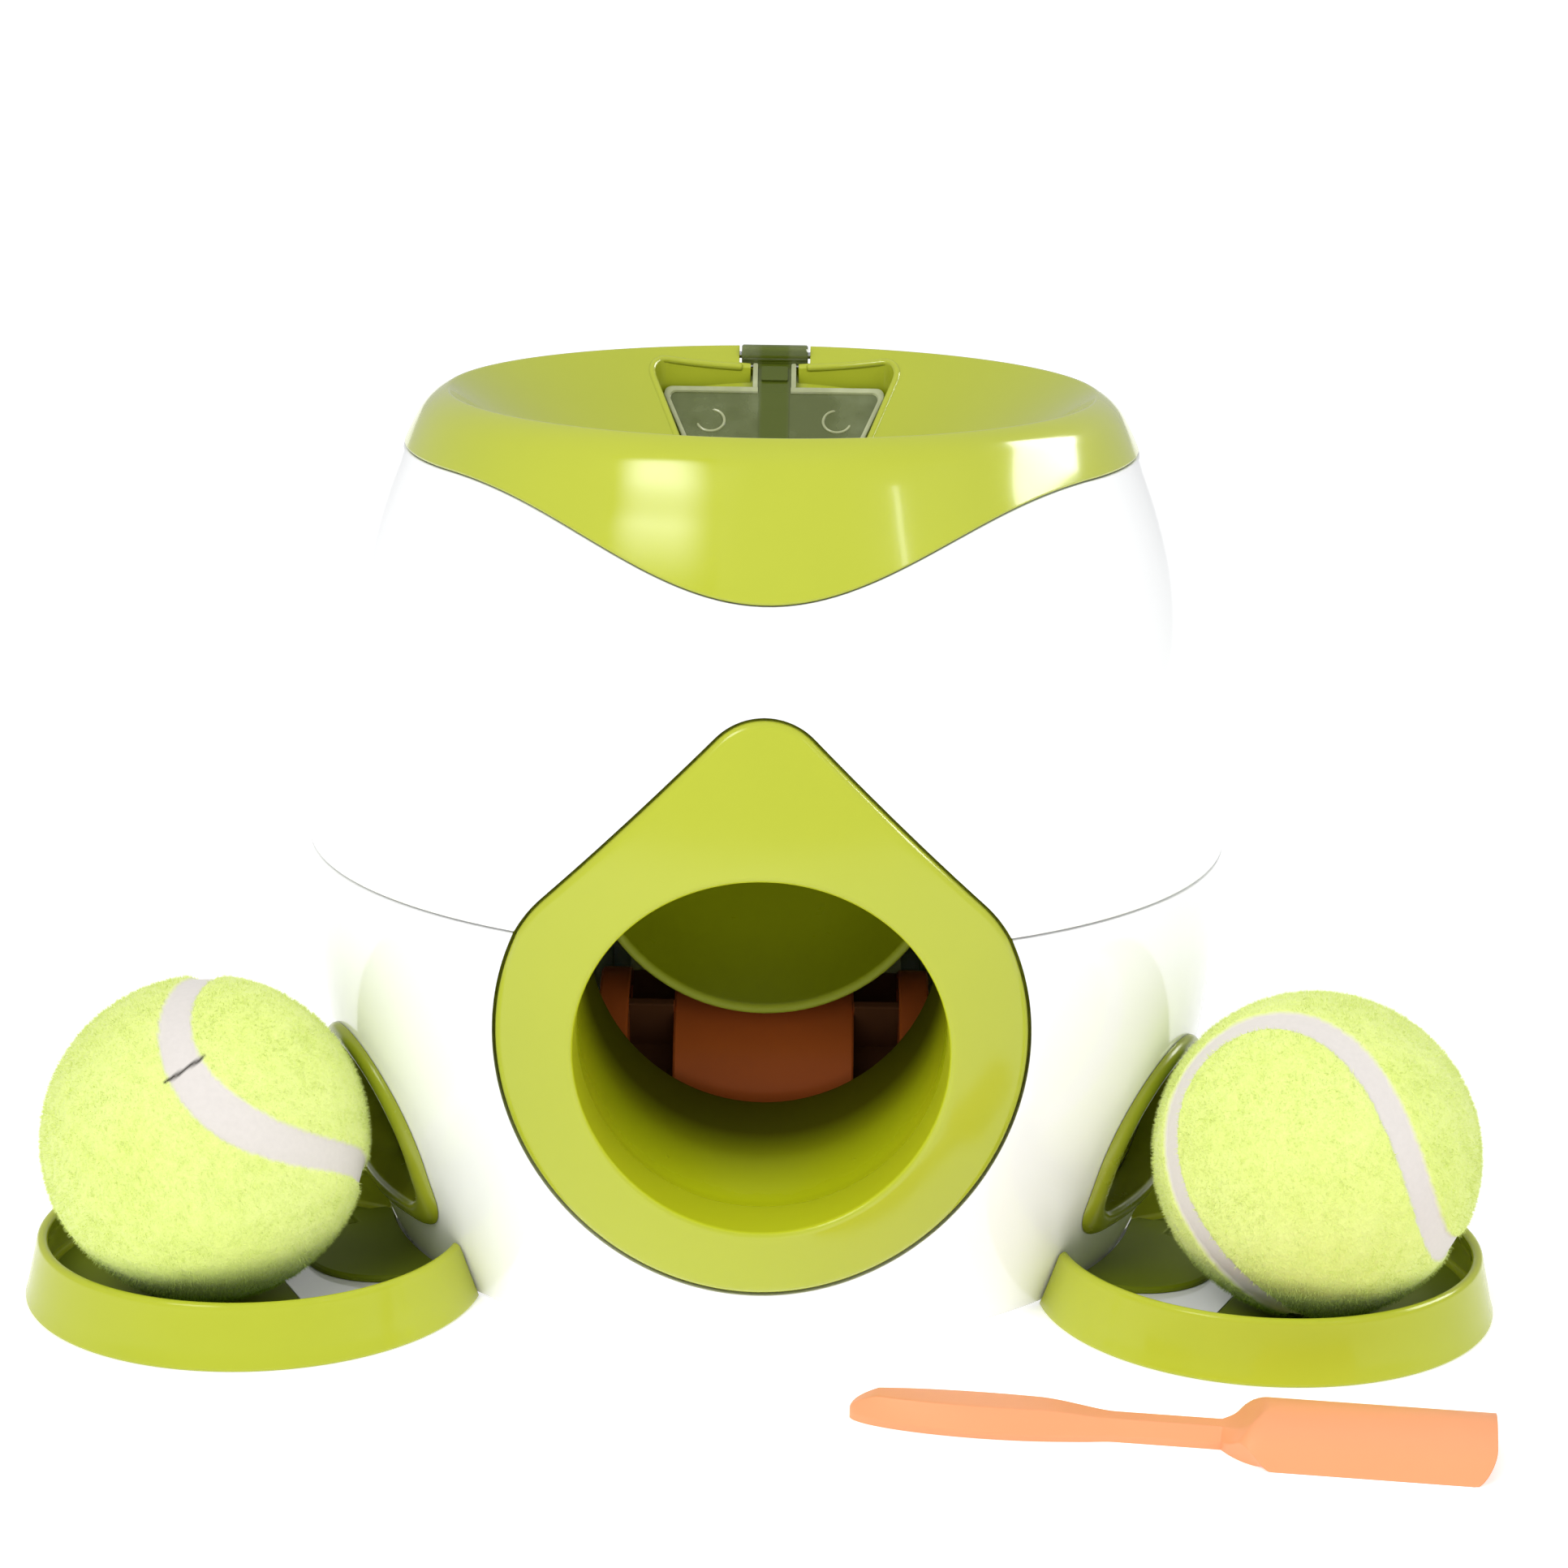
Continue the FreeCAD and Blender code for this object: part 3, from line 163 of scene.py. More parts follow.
# Lid
LID_REAR_Y = 53.836
LID_FRONT_Y = 38.8
LID_HALF_REAR = 24.0
LID_HALF_FRONT = 17.0
LID_LEAN = (LID_HALF_REAR - LID_HALF_FRONT) / (LID_REAR_Y - LID_FRONT_Y)
LID_GAP = 0.5
LID_SINK = 0.7
LID_FACE = 0.45
LID_T = 1.95
LID_CORNER = 1.6
LID_BORE_R = 1.05
PIN_HALF = 8.6
PIN_R = 0.72
FINGER_X = 13.3
FINGER_Y = 48.3
FINGER_REACH = (2.9, 2.3)
PANEL_REAR_Y = 55.9
SEAT_DEPTH = 3.0
RECESS_EDGE = 2.2
RECESS_REAR_Y = 53.3
RECESS_BOW = 3.2
RECESS_CORNER = 3.0
RECESS_WALL = 1.6
NECK_HALF = 4.6
HINGE_Y = 62.236
HINGE_Z = 169.756
HINGE_R = 2.2
HINGE_HALF = 7.05

# Side outlets and trays, drawn on the +X side and then turned
SIDE_TURN = -25.0
ARCH_R = 23.0
ARCH_Z = 27.5
ARCH_LOW_Z = 13.5
ARCH_CORNER = 8.0
ARCH_RIM = 4.5
ARCH_LAP = 2.0
OUTLET_LIFT = 0.15
OUTLET_RISE = 1.85
OUTLET_DEPTHS = (2.0, 6.0)
TRAY_X = 109.05
TRAY_R = 44.6
TRAY_LEAN = 2.7
TRAY_H = 12.4
TRAY_WALL = 2.2
TRAY_FLOOR = 2.2
TRAY_FILLET = ((0.0, 2.9), (0.25, 2.4), (0.8, 2.2))
PAD_X = 82.7
PAD_R = 15.6
PAD_Z = (1.1, 3.45)
BRIDGE_X = 68.1
BRIDGE_HALF = 22.0
RUNNER_CUT_HALF = 18.15
RUNNER_SLOT_HALF = 18.35
RUNNER_SLOT_END = 105.6
RUNNER_SLOT_Z = 2.25

# Balls: each one's centre, the turn of its seam, its waviness, and how much it swells at its widest
BALL_R = 31.75
FELT_SINK = 0.75
SEAM_DEPTH = 0.55
SEAM_BANK = 0.35
NAP_ROOT = 0.95
NAP_OVER = 0.45
NAP_FLOOR_Z = 2.24
BALLS = {
    "left": (Vector((-106.3, -57.5, 33.97)), Euler(map(math.radians, (92.2, 5.1, 148.3))), 0.88, 0.5),
    "right": (Vector((106.3, -57.5, 33.97)), Euler(map(math.radians, (-34.6, -10.7, 30.0))), 0.75, 0.0),
}
SEAM_WIDEST = Vector((0.29, -0.83, 0.48))
SPLIT_ENDS = ((-0.106, -0.773, 0.626), (0.103, -0.653, 0.75))

# Colours under the masks, most of them painted light or shade, and colours of the plain inner parts
# Painted light: the front opening's wall is painted lighter than the frame's green.
HOLE_WALL_PAINTED_LIGHT = (0.54, 0.59, 0.01)
# Painted shade on the trays' floor and inner wall.
TRAY_PAINTED_SHADE = (0.16, 0.2, 0.002)
# Painted light and shade: the chute is painted brighter at its front and darker towards the wheel.
CHUTE_PAINTED_LIGHT = (0.5, 0.55, 0.008)
CHUTE_PAINTED_LIGHT_CAST = (0.46, 0.51, 0.007)
CHUTE_PAINTED_SHADE = (0.08, 0.08, 0.001)
# Painted light on the slide's lip, painted shade on the rest of the slide.
SLIDE_LIP_PAINTED_LIGHT = (0.5, 0.56, 0.06)
SLIDE_LIP_PAINTED_LIGHT_CAST = (0.46, 0.52, 0.05)
SLIDE_PAINTED_SHADE = (0.32, 0.36, 0.004)
# Painted shade in the wheel's deep pockets.
POCKET_PAINTED_SHADE = (0.12, 0.045, 0.02)
STRIPE_DARK = (0.16, 0.21, 0.02)
JOINT_DARK = (0.02, 0.015, 0.01)
NATURAL = ((0.78, 0.79, 0.75), (0.7, 0.7, 0.66))
STEEL = ((0.6, 0.6, 0.61), (0.45, 0.45, 0.47))
FOOT = ((0.3, 0.3, 0.29), (0.24, 0.24, 0.23))
CORE = ((0.05, 0.05, 0.045), (0.08, 0.075, 0.07))


# ------------------------------------------------------------------ numbers and outlines

def barrel_r(z, offset=0.0):
    """Radius of the barrel-shaped body at a height, grown by offset."""
    return BELLY_R - BARREL_ARC + np.sqrt((BARREL_ARC + offset) ** 2 - (z - BELLY_Z) ** 2)


def front_y(x, z, offset=0.0):
    """Depth of the barrel's front at a place across and up."""
    return -math.sqrt(barrel_r(z, offset) ** 2 - x * x)


def bowl_z(r):
    """Height of the bowl at a radius."""
    return CREST_Z - BOWL_SLOPE * (CREST_R - r)


def hem_z(azimuth):
    """Height of the skirt's wavy hem at an azimuth from +X."""
    z = SHOULDER_Z - SKIRT_DROP
    for _ in range(60):
        x = min(abs(barrel_r(z) * math.cos(azimuth)), WAVE_X)
        z = SHOULDER_Z - SKIRT_DROP * (1 + math.cos(math.pi * x / WAVE_X)) / 2
    return z


def arc(centre, radius, start, end, steps):
    """Points of an arc, its ends given in degrees."""
    turns = np.radians(np.linspace(start, end, steps + 1))
    return [(centre[0] + radius * math.cos(t), centre[1] + radius * math.sin(t)) for t in turns]


def swept(start, start_slope, end, end_slope, steps):
    """A smooth line between two places that falls there at the given slopes, in degrees."""
    start, end = Vector(start), Vector(end)
    reach = (end - start).length
    leave_way, meet_way = (Vector((math.cos(math.radians(s)), -math.sin(math.radians(s)))) * reach
                           for s in (start_slope, end_slope))
    marks = [k / steps for k in range(steps + 1)]
    return [tuple(start * (2 * t ** 3 - 3 * t * t + 1) + leave_way * (t ** 3 - 2 * t * t + t)
                  + end * (3 * t * t - 2 * t ** 3) + meet_way * (t ** 3 - t * t)) for t in marks]


def eased(before, corner, after, reach, steps):
    """A soft corner in place of a sharp one."""
    before, corner, after = Vector(before), Vector(corner), Vector(after)
    start = corner + (before - corner).normalized() * reach
    end = corner + (after - corner).normalized() * reach
    marks = [k / steps for k in range(steps + 1)]
    return [tuple(start * (1 - t) ** 2 + corner * 2 * t * (1 - t) + end * t * t) for t in marks]


def rounded(corners, steps=6):
    """A closed outline from corners given as (x, y, radius)."""
    outline = []
    for i, (x, y, radius) in enumerate(corners):
        here = Vector((x, y))
        before = (Vector(corners[i - 1][:2]) - here).normalized()
        after = (Vector(corners[(i + 1) % len(corners)][:2]) - here).normalized()
        half = before.angle(after) / 2
        reach = radius / math.tan(half)
        middle = here + (before + after).normalized() * radius / math.sin(half)
        start, end = here + before * reach - middle, here + after * reach - middle
        outline += [tuple(middle + start.slerp(end, k / steps) * radius) for k in range(steps + 1)]
    return outline


def evenly(points, count):
    """Points at even distances along a line, its ends kept."""
    points = np.array(points, float)
    steps = np.linalg.norm(np.diff(points, axis=0), axis=1)
    reach = np.concatenate([[0], np.cumsum(steps)])
    marks = np.linspace(0, reach[-1], count)
    return [tuple(row) for row in np.column_stack([np.interp(marks, reach, c) for c in points.T])]


def teardrop(grow):
    """The front frame's outline in x and z, grown by a margin."""
    radius, tip = FRAME_R + grow, TIP_R + grow
    near = radius - FRAME_INSET
    turn = 45 - math.degrees(math.acos(near / radius))
    tip_z = FRAME_Z + (near - tip) * math.sqrt(2)
    round_part = arc((0, FRAME_Z), radius, turn - 5, -175 - turn, 150)
    hip = arc((0, FRAME_Z), radius, turn, turn, 1)[0]
    cheek = (tip / math.sqrt(2), tip_z + tip / math.sqrt(2))
    tip_part = arc((0, tip_z), tip, 135, 45, 22)
    bend = eased(cheek, hip, round_part[0], 4.6, 8)
    left_bend = [(-x, z) for x, z in reversed(bend)]
    left_line = evenly([left_bend[-1], tip_part[0]], 26)[1:-1]
    right_line = evenly([tip_part[-1], bend[0]], 26)[1:-1]
    return round_part[1:-1] + left_bend + left_line + tip_part + right_line + bend


def arch(shrink):
    """A side outlet's outline along and up the wall, shrunk by a margin."""
    radius, low = ARCH_R - shrink, ARCH_LOW_Z + shrink
    corner = ARCH_CORNER - shrink / 2
    points = arc((0, ARCH_Z), radius, 0, 180, 48)[:-1]
    points += evenly([(-radius, ARCH_Z), (-radius, low + corner)], 8)[:-1]
    points += arc((corner - radius, low + corner), corner, 180, 270, 10)[:-1]
    points += evenly([(corner - radius, low), (radius - corner, low)], 22)[:-1]
    points += arc((radius - corner, low + corner), corner, 270, 360, 10)[:-1]
    return points + evenly([(radius, low + corner), (radius, ARCH_Z)], 8)[:-1]


def keystone(grow, radius, rear_y=LID_REAR_Y, bow=0.0):
    """The lid's plan with round corners, grown by a margin; bow pushes out the middle of its rear."""
    rear, front = rear_y + grow, LID_FRONT_Y - min(grow, RECESS_EDGE)
    wide = LID_HALF_REAR + grow + LID_LEAN * (rear - LID_REAR_Y)
    slim = wide - LID_LEAN * (rear - front)
    corners = [(wide, rear), (-wide, rear), (-slim, front), (slim, front)]
    outline = rounded([(x, y, radius) for x, y in corners])
    corner = len(outline) // 4
    outline[corner:corner] = evenly([outline[corner - 1], outline[corner]], 26)[1:-1]

    def pushed(x, y):
        share = smooth_share(3 * (y - front) / (rear - front) - 2)
        return x, y + bow * share * max(0.0, 1 - (x / wide) ** 2)

    return [pushed(x, y) for x, y in outline]


def recess_outline(grow):
    """The plan of the recess that the lid lies in."""
    return keystone(RECESS_EDGE + grow, RECESS_CORNER, RECESS_REAR_Y, RECESS_BOW)


def lid_plane_z(y, depth):
    """Height of a plane that lies under the rear of the bowl by depth."""
    return bowl_z(0) - depth + BOWL_SLOPE * y


# ------------------------------------------------------------------ modelling

def take(*pieces):
    """Select these pieces alone, the first one active."""
    active = bpy.context.view_layer.objects.active
    if active and active.mode != "OBJECT":
        bpy.ops.object.mode_set(mode="OBJECT")
    bpy.ops.object.select_all(action="DESELECT")
    for piece in pieces:
        piece.select_set(True)
    bpy.context.view_layer.objects.active = pieces[0] if pieces else None


def edit(piece):
    take(piece)
    bpy.ops.object.mode_set(mode="EDIT")
    bpy.ops.mesh.select_all(action="SELECT")


def leave(name):
    bpy.ops.object.mode_set(mode="OBJECT")
    piece = bpy.context.object
    piece.name = piece.data.name = name
    return piece


def closed_up(name, fill=True):
    """Merge the doubles of the piece in edit mode, close its ends and turn its faces out."""
    bpy.ops.mesh.select_all(action="SELECT")
    bpy.ops.mesh.remove_doubles(threshold=2e-6)
    if fill:
        bpy.ops.mesh.select_all(action="SELECT")
        bpy.ops.mesh.fill_holes(sides=0)
        bpy.ops.mesh.select_all(action="SELECT")
    bpy.ops.mesh.normals_make_consistent(inside=False)
    return leave(name)


def lofted(name, loops, ring=False):
    """A skin over closed loops with the same number of points; ring joins the last to the first."""
    points = np.array(loops, float)
    if ring:
        points = np.concatenate([points, points[:1]])
    points = np.concatenate([points, points[:, :1]], axis=1)
    rows, columns = points.shape[:2]
    take()
    bpy.ops.mesh.primitive_grid_add(x_subdivisions=columns - 1, y_subdivisions=rows - 1, size=1)
    mesh = bpy.context.object.data
    mesh.vertices.foreach_set("co", (points * MM).ravel())
    mesh.update()
    bpy.ops.object.mode_set(mode="EDIT")
    return closed_up(name, fill=not ring)


def prism(name, outline, low, high, place):
    """A straight solid between two levels; place turns (a, b, level) into a point."""
    return lofted(name, [[place(a, b, level) for a, b in outline] for level in (low, high)])


def traced(points):
    """A closed line of edges, drawn by extruding one corner from point to point."""
    points = [Vector(p) * MM for p in points]
    take()
    bpy.ops.mesh.primitive_plane_add(size=0.01)
    bpy.ops.object.mode_set(mode="EDIT")
    bpy.ops.mesh.select_all(action="SELECT")
    bpy.ops.mesh.merge(type="CENTER")
    bpy.ops.transform.translate(value=points[0])
    for a, b in zip(points, points[1:] + points[:1]):
        bpy.ops.mesh.extrude_vertices_move(TRANSFORM_OT_translate={"value": b - a})
    bpy.ops.mesh.select_all(action="SELECT")
    bpy.ops.mesh.remove_doubles(threshold=2e-6)


def spun(name, profile, centre=(0, 0, 0), axis="Z", steps=AROUND):
    """A closed profile of (radius, place along the axis) turned all the way round."""
    cx, cy, cz = centre
    if axis == "Z":
        traced([(cx + r, cy, cz + h) for r, h in profile])
    else:
        traced([(cx + h, cy, cz + r) for r, h in profile])
    bpy.ops.mesh.select_all(action="SELECT")
    bpy.ops.mesh.spin(steps=steps, angle=2 * math.pi, use_auto_merge=False,
                      center=Vector(centre) * MM, axis=(0, 0, 1) if axis == "Z" else (1, 0, 0))
    return closed_up(name, fill=False)


def block(name, low, high, soft=0.4):
    """A box with softened edges."""
    low, high = Vector(low), Vector(high)
    take()
    bpy.ops.mesh.primitive_cube_add(size=1, location=(low + high) / 2 * MM, scale=(high - low) * MM)
    bpy.ops.object.transform_apply(location=True, rotation=True, scale=True)
    bpy.ops.object.mode_set(mode="EDIT")
    bpy.ops.mesh.select_all(action="SELECT")
    if soft:
        bpy.ops.mesh.bevel(offset=soft * MM, segments=3, profile=0.5)
    return leave(name)


def rod(name, start, length, radius, axis="Z", soft=0.3, steps=48):
    """A round bar with softened ends."""
    profile = [(0, 0), (radius - soft, 0), (radius, soft)]
    profile += [(radius, length - soft), (radius - soft, length), (0, length)]
    return spun(name, profile, start, axis, steps)


def tube(name, path, radius, up, sides):
    """A round bead along a path, rounded off at its ends."""
    path = [Vector(p) for p in path]
    turns = [2 * math.pi * k / sides for k in range(sides)]
    loops = []
    for here, before, after in zip(path, path[:1] + path, path[1:] + path[-1:]):
        way = (after - before).normalized()
        side = way.cross(Vector(up)).normalized()
        lift = side.cross(way)
        ahead = min((here - path[0]).length, (here - path[-1]).length) / radius
        slim = max(math.sqrt(max(0.0, 1 - (1 - min(ahead, 1)) ** 2)), 0.05)
        loops.append([here + (side * math.cos(t) + lift * math.sin(t)) * radius * slim for t in turns])
    return lofted(name, loops)


def combine(piece, tool, operation, own=False):
    """Add, cut or keep what two solids share, and drop the second."""
    take(piece)
    modifier = piece.modifiers.new(operation.title(), "BOOLEAN")
    modifier.operation, modifier.solver, modifier.object = operation, "EXACT", tool
    modifier.use_self = own
    bpy.ops.object.modifier_apply(modifier=modifier.name)
    bpy.data.objects.remove(tool)
    return piece


def joined(pieces):
    take(*pieces)
    bpy.ops.object.join()
    return bpy.context.object


def added(pieces):
    """All these solids as one skin."""
    piece = pieces[0]
    for other in pieces[1:]:
        combine(piece, other, "UNION")
    return piece


def turned(piece, degrees):
    """Turn a piece about the body's upright axis, with its place kept in its mesh."""
    piece.data.transform(Matrix.Rotation(math.radians(degrees), 4, "Z"))
    return piece


def mirrored(piece, name):
    """The left-hand twin of a right-hand piece."""
    take(piece)
    bpy.ops.object.duplicate()
    twin = bpy.context.object
    twin.data.transform(Matrix.Scale(-1, 4, (1, 0, 0)))
    edit(twin)
    bpy.ops.mesh.normals_make_consistent(inside=False)
    return leave(name)


def finished(piece, name, body, material, replaced=(), smooth=32.0, weighted=True):
    """Name a piece, shade it, give it its material and tie it to its body."""
    take(piece)
    piece.name = piece.data.name = name
    piece.data.materials.clear()
    piece.data.materials.append(material)
    bpy.ops.object.shade_smooth_by_angle(angle=math.radians(smooth))
    if weighted:
        modifier = piece.modifiers.new("Weighted normals", "WEIGHTED_NORMAL")
        modifier.keep_sharp = True
        bpy.ops.object.modifier_apply(modifier=modifier.name)
    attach(piece, body)
    if replaced:
        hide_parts(*replaced)
    return piece


# ------------------------------------------------------------------ materials

def group_of(name, inputs, outputs):
    """A new node group with named sockets."""
    group = bpy.data.node_groups.new(name, "ShaderNodeTree")
    for label, kind, value in inputs:
        socket = group.interface.new_socket(label, in_out="INPUT", socket_type=kind)
        socket.default_value = value
    for label, kind in outputs:
        group.interface.new_socket(label, in_out="OUTPUT", socket_type=kind)
    return group


def wire(tree, kind, values=None, links=None, **settings):
    """A node with its settings, its socket values and what feeds its sockets."""
    node = tree.nodes.new(kind)
    for key, value in settings.items():
        setattr(node, key, value)
    for key, value in (values or {}).items():
        node.inputs[key].default_value = value
    for key, source in (links or {}).items():
        tree.links.new(source, node.inputs[key])
    return node


def noise(tree, place, scale, detail, rough=0.55):
    return wire(tree, "ShaderNodeTexNoise", {"Scale": scale, "Detail": detail, "Roughness": rough},
                {"Vector": place}).outputs["Fac"]


def ranged(tree, value, low, high, to_low=0.0, to_high=1.0):
    values = {"From Min": low, "From Max": high, "To Min": to_low, "To Max": to_high}
    return wire(tree, "ShaderNodeMapRange", values, {"Value": value}).outputs["Result"]


def sums(tree, operation, a, b):
    """A Math node; each side is a socket or a plain number."""
    node = wire(tree, "ShaderNodeMath", operation=operation)
    for i, side in enumerate((a, b)):
        if isinstance(side, bpy.types.NodeSocket):
            tree.links.new(side, node.inputs[i])
        else:
            node.inputs[i].default_value = side
    return node.outputs["Value"]


def blended(tree, share, a, b):
    """A colour between two colours; each is a socket or a plain colour."""
    node = wire(tree, "ShaderNodeMix", data_type="RGBA")
    tree.links.new(share, node.inputs["Factor"])
    for key, side in ((6, a), (7, b)):
        if isinstance(side, bpy.types.NodeSocket):
            tree.links.new(side, node.inputs[key])
        else:
            node.inputs[key].default_value = (*side[:3], 1)
    return node.outputs[2]


def along(tree, axis):
    """The distance from the origin along one axis."""
    place = wire(tree, "ShaderNodeTexCoord").outputs["Object"]
    return wire(tree, "ShaderNodeSeparateXYZ", links={"Vector": place}).outputs[axis]


def between(axis, start, end, both_sides=False):
    """What makes a mask that rises from start to end along an axis, in millimetres."""
    def mask(tree):
        distance = along(tree, axis)
        if both_sides:
            distance = sums(tree, "ABSOLUTE", distance, 0.0)
        return ranged(tree, distance, start * MM, end * MM)
    return mask


def pocket_band(tree):
    """The two bands of pockets round the wheel, darkened with painted shade."""
    past_drum = between("X", DRUM_HALF - 0.1, DRUM_HALF + 0.1, True)(tree)
    short_of_ring = between("X", RING_START + 0.1, RING_START - 0.1, True)(tree)
    return sums(tree, "MULTIPLY", past_drum, short_of_ring)


def near_axis(tree, axes, centre, both_sides, start, end):
    """A mask by the distance in the plane of two axes from a centre, in millimetres."""
    first = along(tree, axes[0])
    if both_sides:
        first = sums(tree, "ABSOLUTE", first, 0.0)
    first = sums(tree, "SUBTRACT", first, centre[0] * MM)
    second = sums(tree, "SUBTRACT", along(tree, axes[1]), centre[1] * MM)
    square = sums(tree, "ADD", sums(tree, "MULTIPLY", first, first), sums(tree, "MULTIPLY", second, second))
    return ranged(tree, sums(tree, "SQRT", square, 0.0), start * MM, end * MM)


def hole_wall(tree):
    """The wall of the front opening, where a lighter green is painted as light, to match the chute."""
    return near_axis(tree, "XZ", (0, HOLE_Z), False, HOLE_R + 0.5, HOLE_R)


def tray_inside(tree):
    """The floor and the inner wall of the trays, darkened with painted shade."""
    turn = math.radians(SIDE_TURN)
    centre = TRAY_X * math.cos(turn), TRAY_X * math.sin(turn)
    plan = near_axis(tree, "XY", centre, True, TRAY_R - 4.0, TRAY_R - 4.6)
    return sums(tree, "MULTIPLY", plan, between("Z", TRAY_H - 0.8, TRAY_H - 2.9)(tree))


def painted_hollow_shade(tree, colour, reach, dark):
    """Painted shade: a colour that darkens in hollows, by ambient occlusion up to a reach in millimetres."""
    hollow = wire(tree, "ShaderNodeAmbientOcclusion", {"Distance": reach * MM}, samples=8)
    return blended(tree, ranged(tree, hollow.outputs["AO"], 0.15, 0.9), dark, colour)


def mould_skin_group():
    """The faint clouding and orange peel of a moulded surface."""
    group = group_of("mould_skin", [
        ("Colour", "NodeSocketColor", (0.8, 0.8, 0.8, 1)), ("Cast", "NodeSocketColor", (0.7, 0.7, 0.7, 1)),
        ("Clouding", "NodeSocketFloat", 0.3), ("Roughness", "NodeSocketFloat", 0.2),
        ("Spread", "NodeSocketFloat", 0.05), ("Peel Scale", "NodeSocketFloat", 900.0),
    ], [("Colour", "NodeSocketColor"), ("Roughness", "NodeSocketFloat"), ("Height", "NodeSocketFloat")])
    given = wire(group, "NodeGroupInput").outputs
    place = wire(group, "ShaderNodeTexCoord").outputs["Object"]
    cloud = noise(group, place, 24.0, 4.0)
    share = sums(group, "MULTIPLY", ranged(group, cloud, 0.35, 0.68), given["Clouding"])
    colour = blended(group, share, given["Colour"], given["Cast"])
    streak = ranged(group, noise(group, place, 70.0, 5.0, 0.65), 0.3, 0.75, -0.5, 0.5)
    rough = sums(group, "ADD", given["Roughness"], sums(group, "MULTIPLY", streak, given["Spread"]))
    peel = wire(group, "ShaderNodeTexNoise", {"Detail": 2.0}, {"Vector": place, "Scale": given["Peel Scale"]})
    out = {"Colour": colour, "Roughness": rough, "Height": peel.outputs["Fac"]}
    wire(group, "NodeGroupOutput", links=out)


def scuff_group():
    """Sparse fine scratches."""
    group = group_of("scuff_marks", [
        ("Scale", "NodeSocketFloat", 60.0), ("Turn", "NodeSocketVector", (0.0, 0.0, 0.6)),
        ("Stretch", "NodeSocketVector", (1.0, 1.0, 0.08)), ("Rarity", "NodeSocketFloat", 0.62),
    ], [("Mask", "NodeSocketFloat")])
    given = wire(group, "NodeGroupInput").outputs
    place = wire(group, "ShaderNodeTexCoord").outputs["Object"]
    mapped = wire(group, "ShaderNodeMapping", links={
        "Vector": place, "Rotation": given["Turn"], "Scale": given["Stretch"]}).outputs["Vector"]
    lines = wire(group, "ShaderNodeTexNoise", {"Detail": 6.0, "Roughness": 0.7},
                 {"Vector": mapped, "Scale": sums(group, "MULTIPLY", given["Scale"], 12.0)}).outputs["Fac"]
    where = wire(group, "ShaderNodeTexNoise", {"Detail": 2.0}, {"Vector": place, "Scale": given["Scale"]})
    thin = ranged(group, lines, 0.66, 0.72)
    patch = wire(group, "ShaderNodeMapRange", {"From Max": 0.9},
                 {"Value": where.outputs["Fac"], "From Min": given["Rarity"]})
    wire(group, "NodeGroupOutput", links={"Mask": sums(group, "MULTIPLY", thin, patch.outputs["Result"])})


def new_material(name):
    material = bpy.data.materials.new(name)
    material.use_nodes = True
    tree = material.node_tree
    return material, tree, tree.nodes["Principled BSDF"]


def moulded(name, colour, cast, clouding, rough, spread, peel, bump, scuffs=0.0, hollow=None, shade=None,
            dull=0.3, **fixed):
    """Moulded plastic, rubber or metal with a faintly uneven skin.

    Its colour clouds towards cast. Its roughness varies by spread, and its orange peel has a scale
    and a height. hollow is the reach and colour of painted shade in hollows, shade a mask and
    the colour of painted light or shade under it, and dull what the mask adds to the roughness.
    Fixed values go on the shader.
    """
    material, tree, shader = new_material(name)
    skin = wire(tree, "ShaderNodeGroup", node_tree=bpy.data.node_groups["mould_skin"])
    skin.inputs["Colour"].default_value = (*colour[:3], 1)
    skin.inputs["Cast"].default_value = (*cast[:3], 1)
    values = {"Clouding": clouding, "Roughness": rough, "Spread": spread, "Peel Scale": peel}
    for key, value in values.items():
        skin.inputs[key].default_value = value
    colour_out, rough_out, height = (skin.outputs[k] for k in ("Colour", "Roughness", "Height"))
    if scuffs:
        marks = wire(tree, "ShaderNodeGroup", node_tree=bpy.data.node_groups["scuff_marks"])
        mask = sums(tree, "MULTIPLY", marks.outputs["Mask"], scuffs)
        pale = [min(1.0, c * 1.1 + 0.05) for c in colour[:3]]
        colour_out = blended(tree, mask, colour_out, pale)
        rough_out = sums(tree, "ADD", rough_out, sums(tree, "MULTIPLY", mask, 0.3))
    # The mask paints light or shade: its colour stands in for how light falls there.
    if shade:
        mask = shade[0](tree)
        colour_out = blended(tree, mask, colour_out, shade[1])
        rough_out = sums(tree, "ADD", rough_out, sums(tree, "MULTIPLY", mask, dull))
    # Painted shade: the colour darkens in hollows, where less light reaches.
    if hollow:
        colour_out = painted_hollow_shade(tree, colour_out, *hollow)
    edge = wire(tree, "ShaderNodeBevel", {"Radius": 0.25 * MM}, samples=4)
    bump_node = wire(tree, "ShaderNodeBump", {"Strength": bump, "Distance": 0.1 * MM},
                     {"Height": height, "Normal": edge.outputs["Normal"]})
    tree.links.new(colour_out, shader.inputs["Base Color"])
    tree.links.new(rough_out, shader.inputs["Roughness"])
    tree.links.new(bump_node.outputs["Normal"], shader.inputs["Normal"])
    for key, value in fixed.items():
        shader.inputs[key.replace("_", " ")].default_value = value
    return material


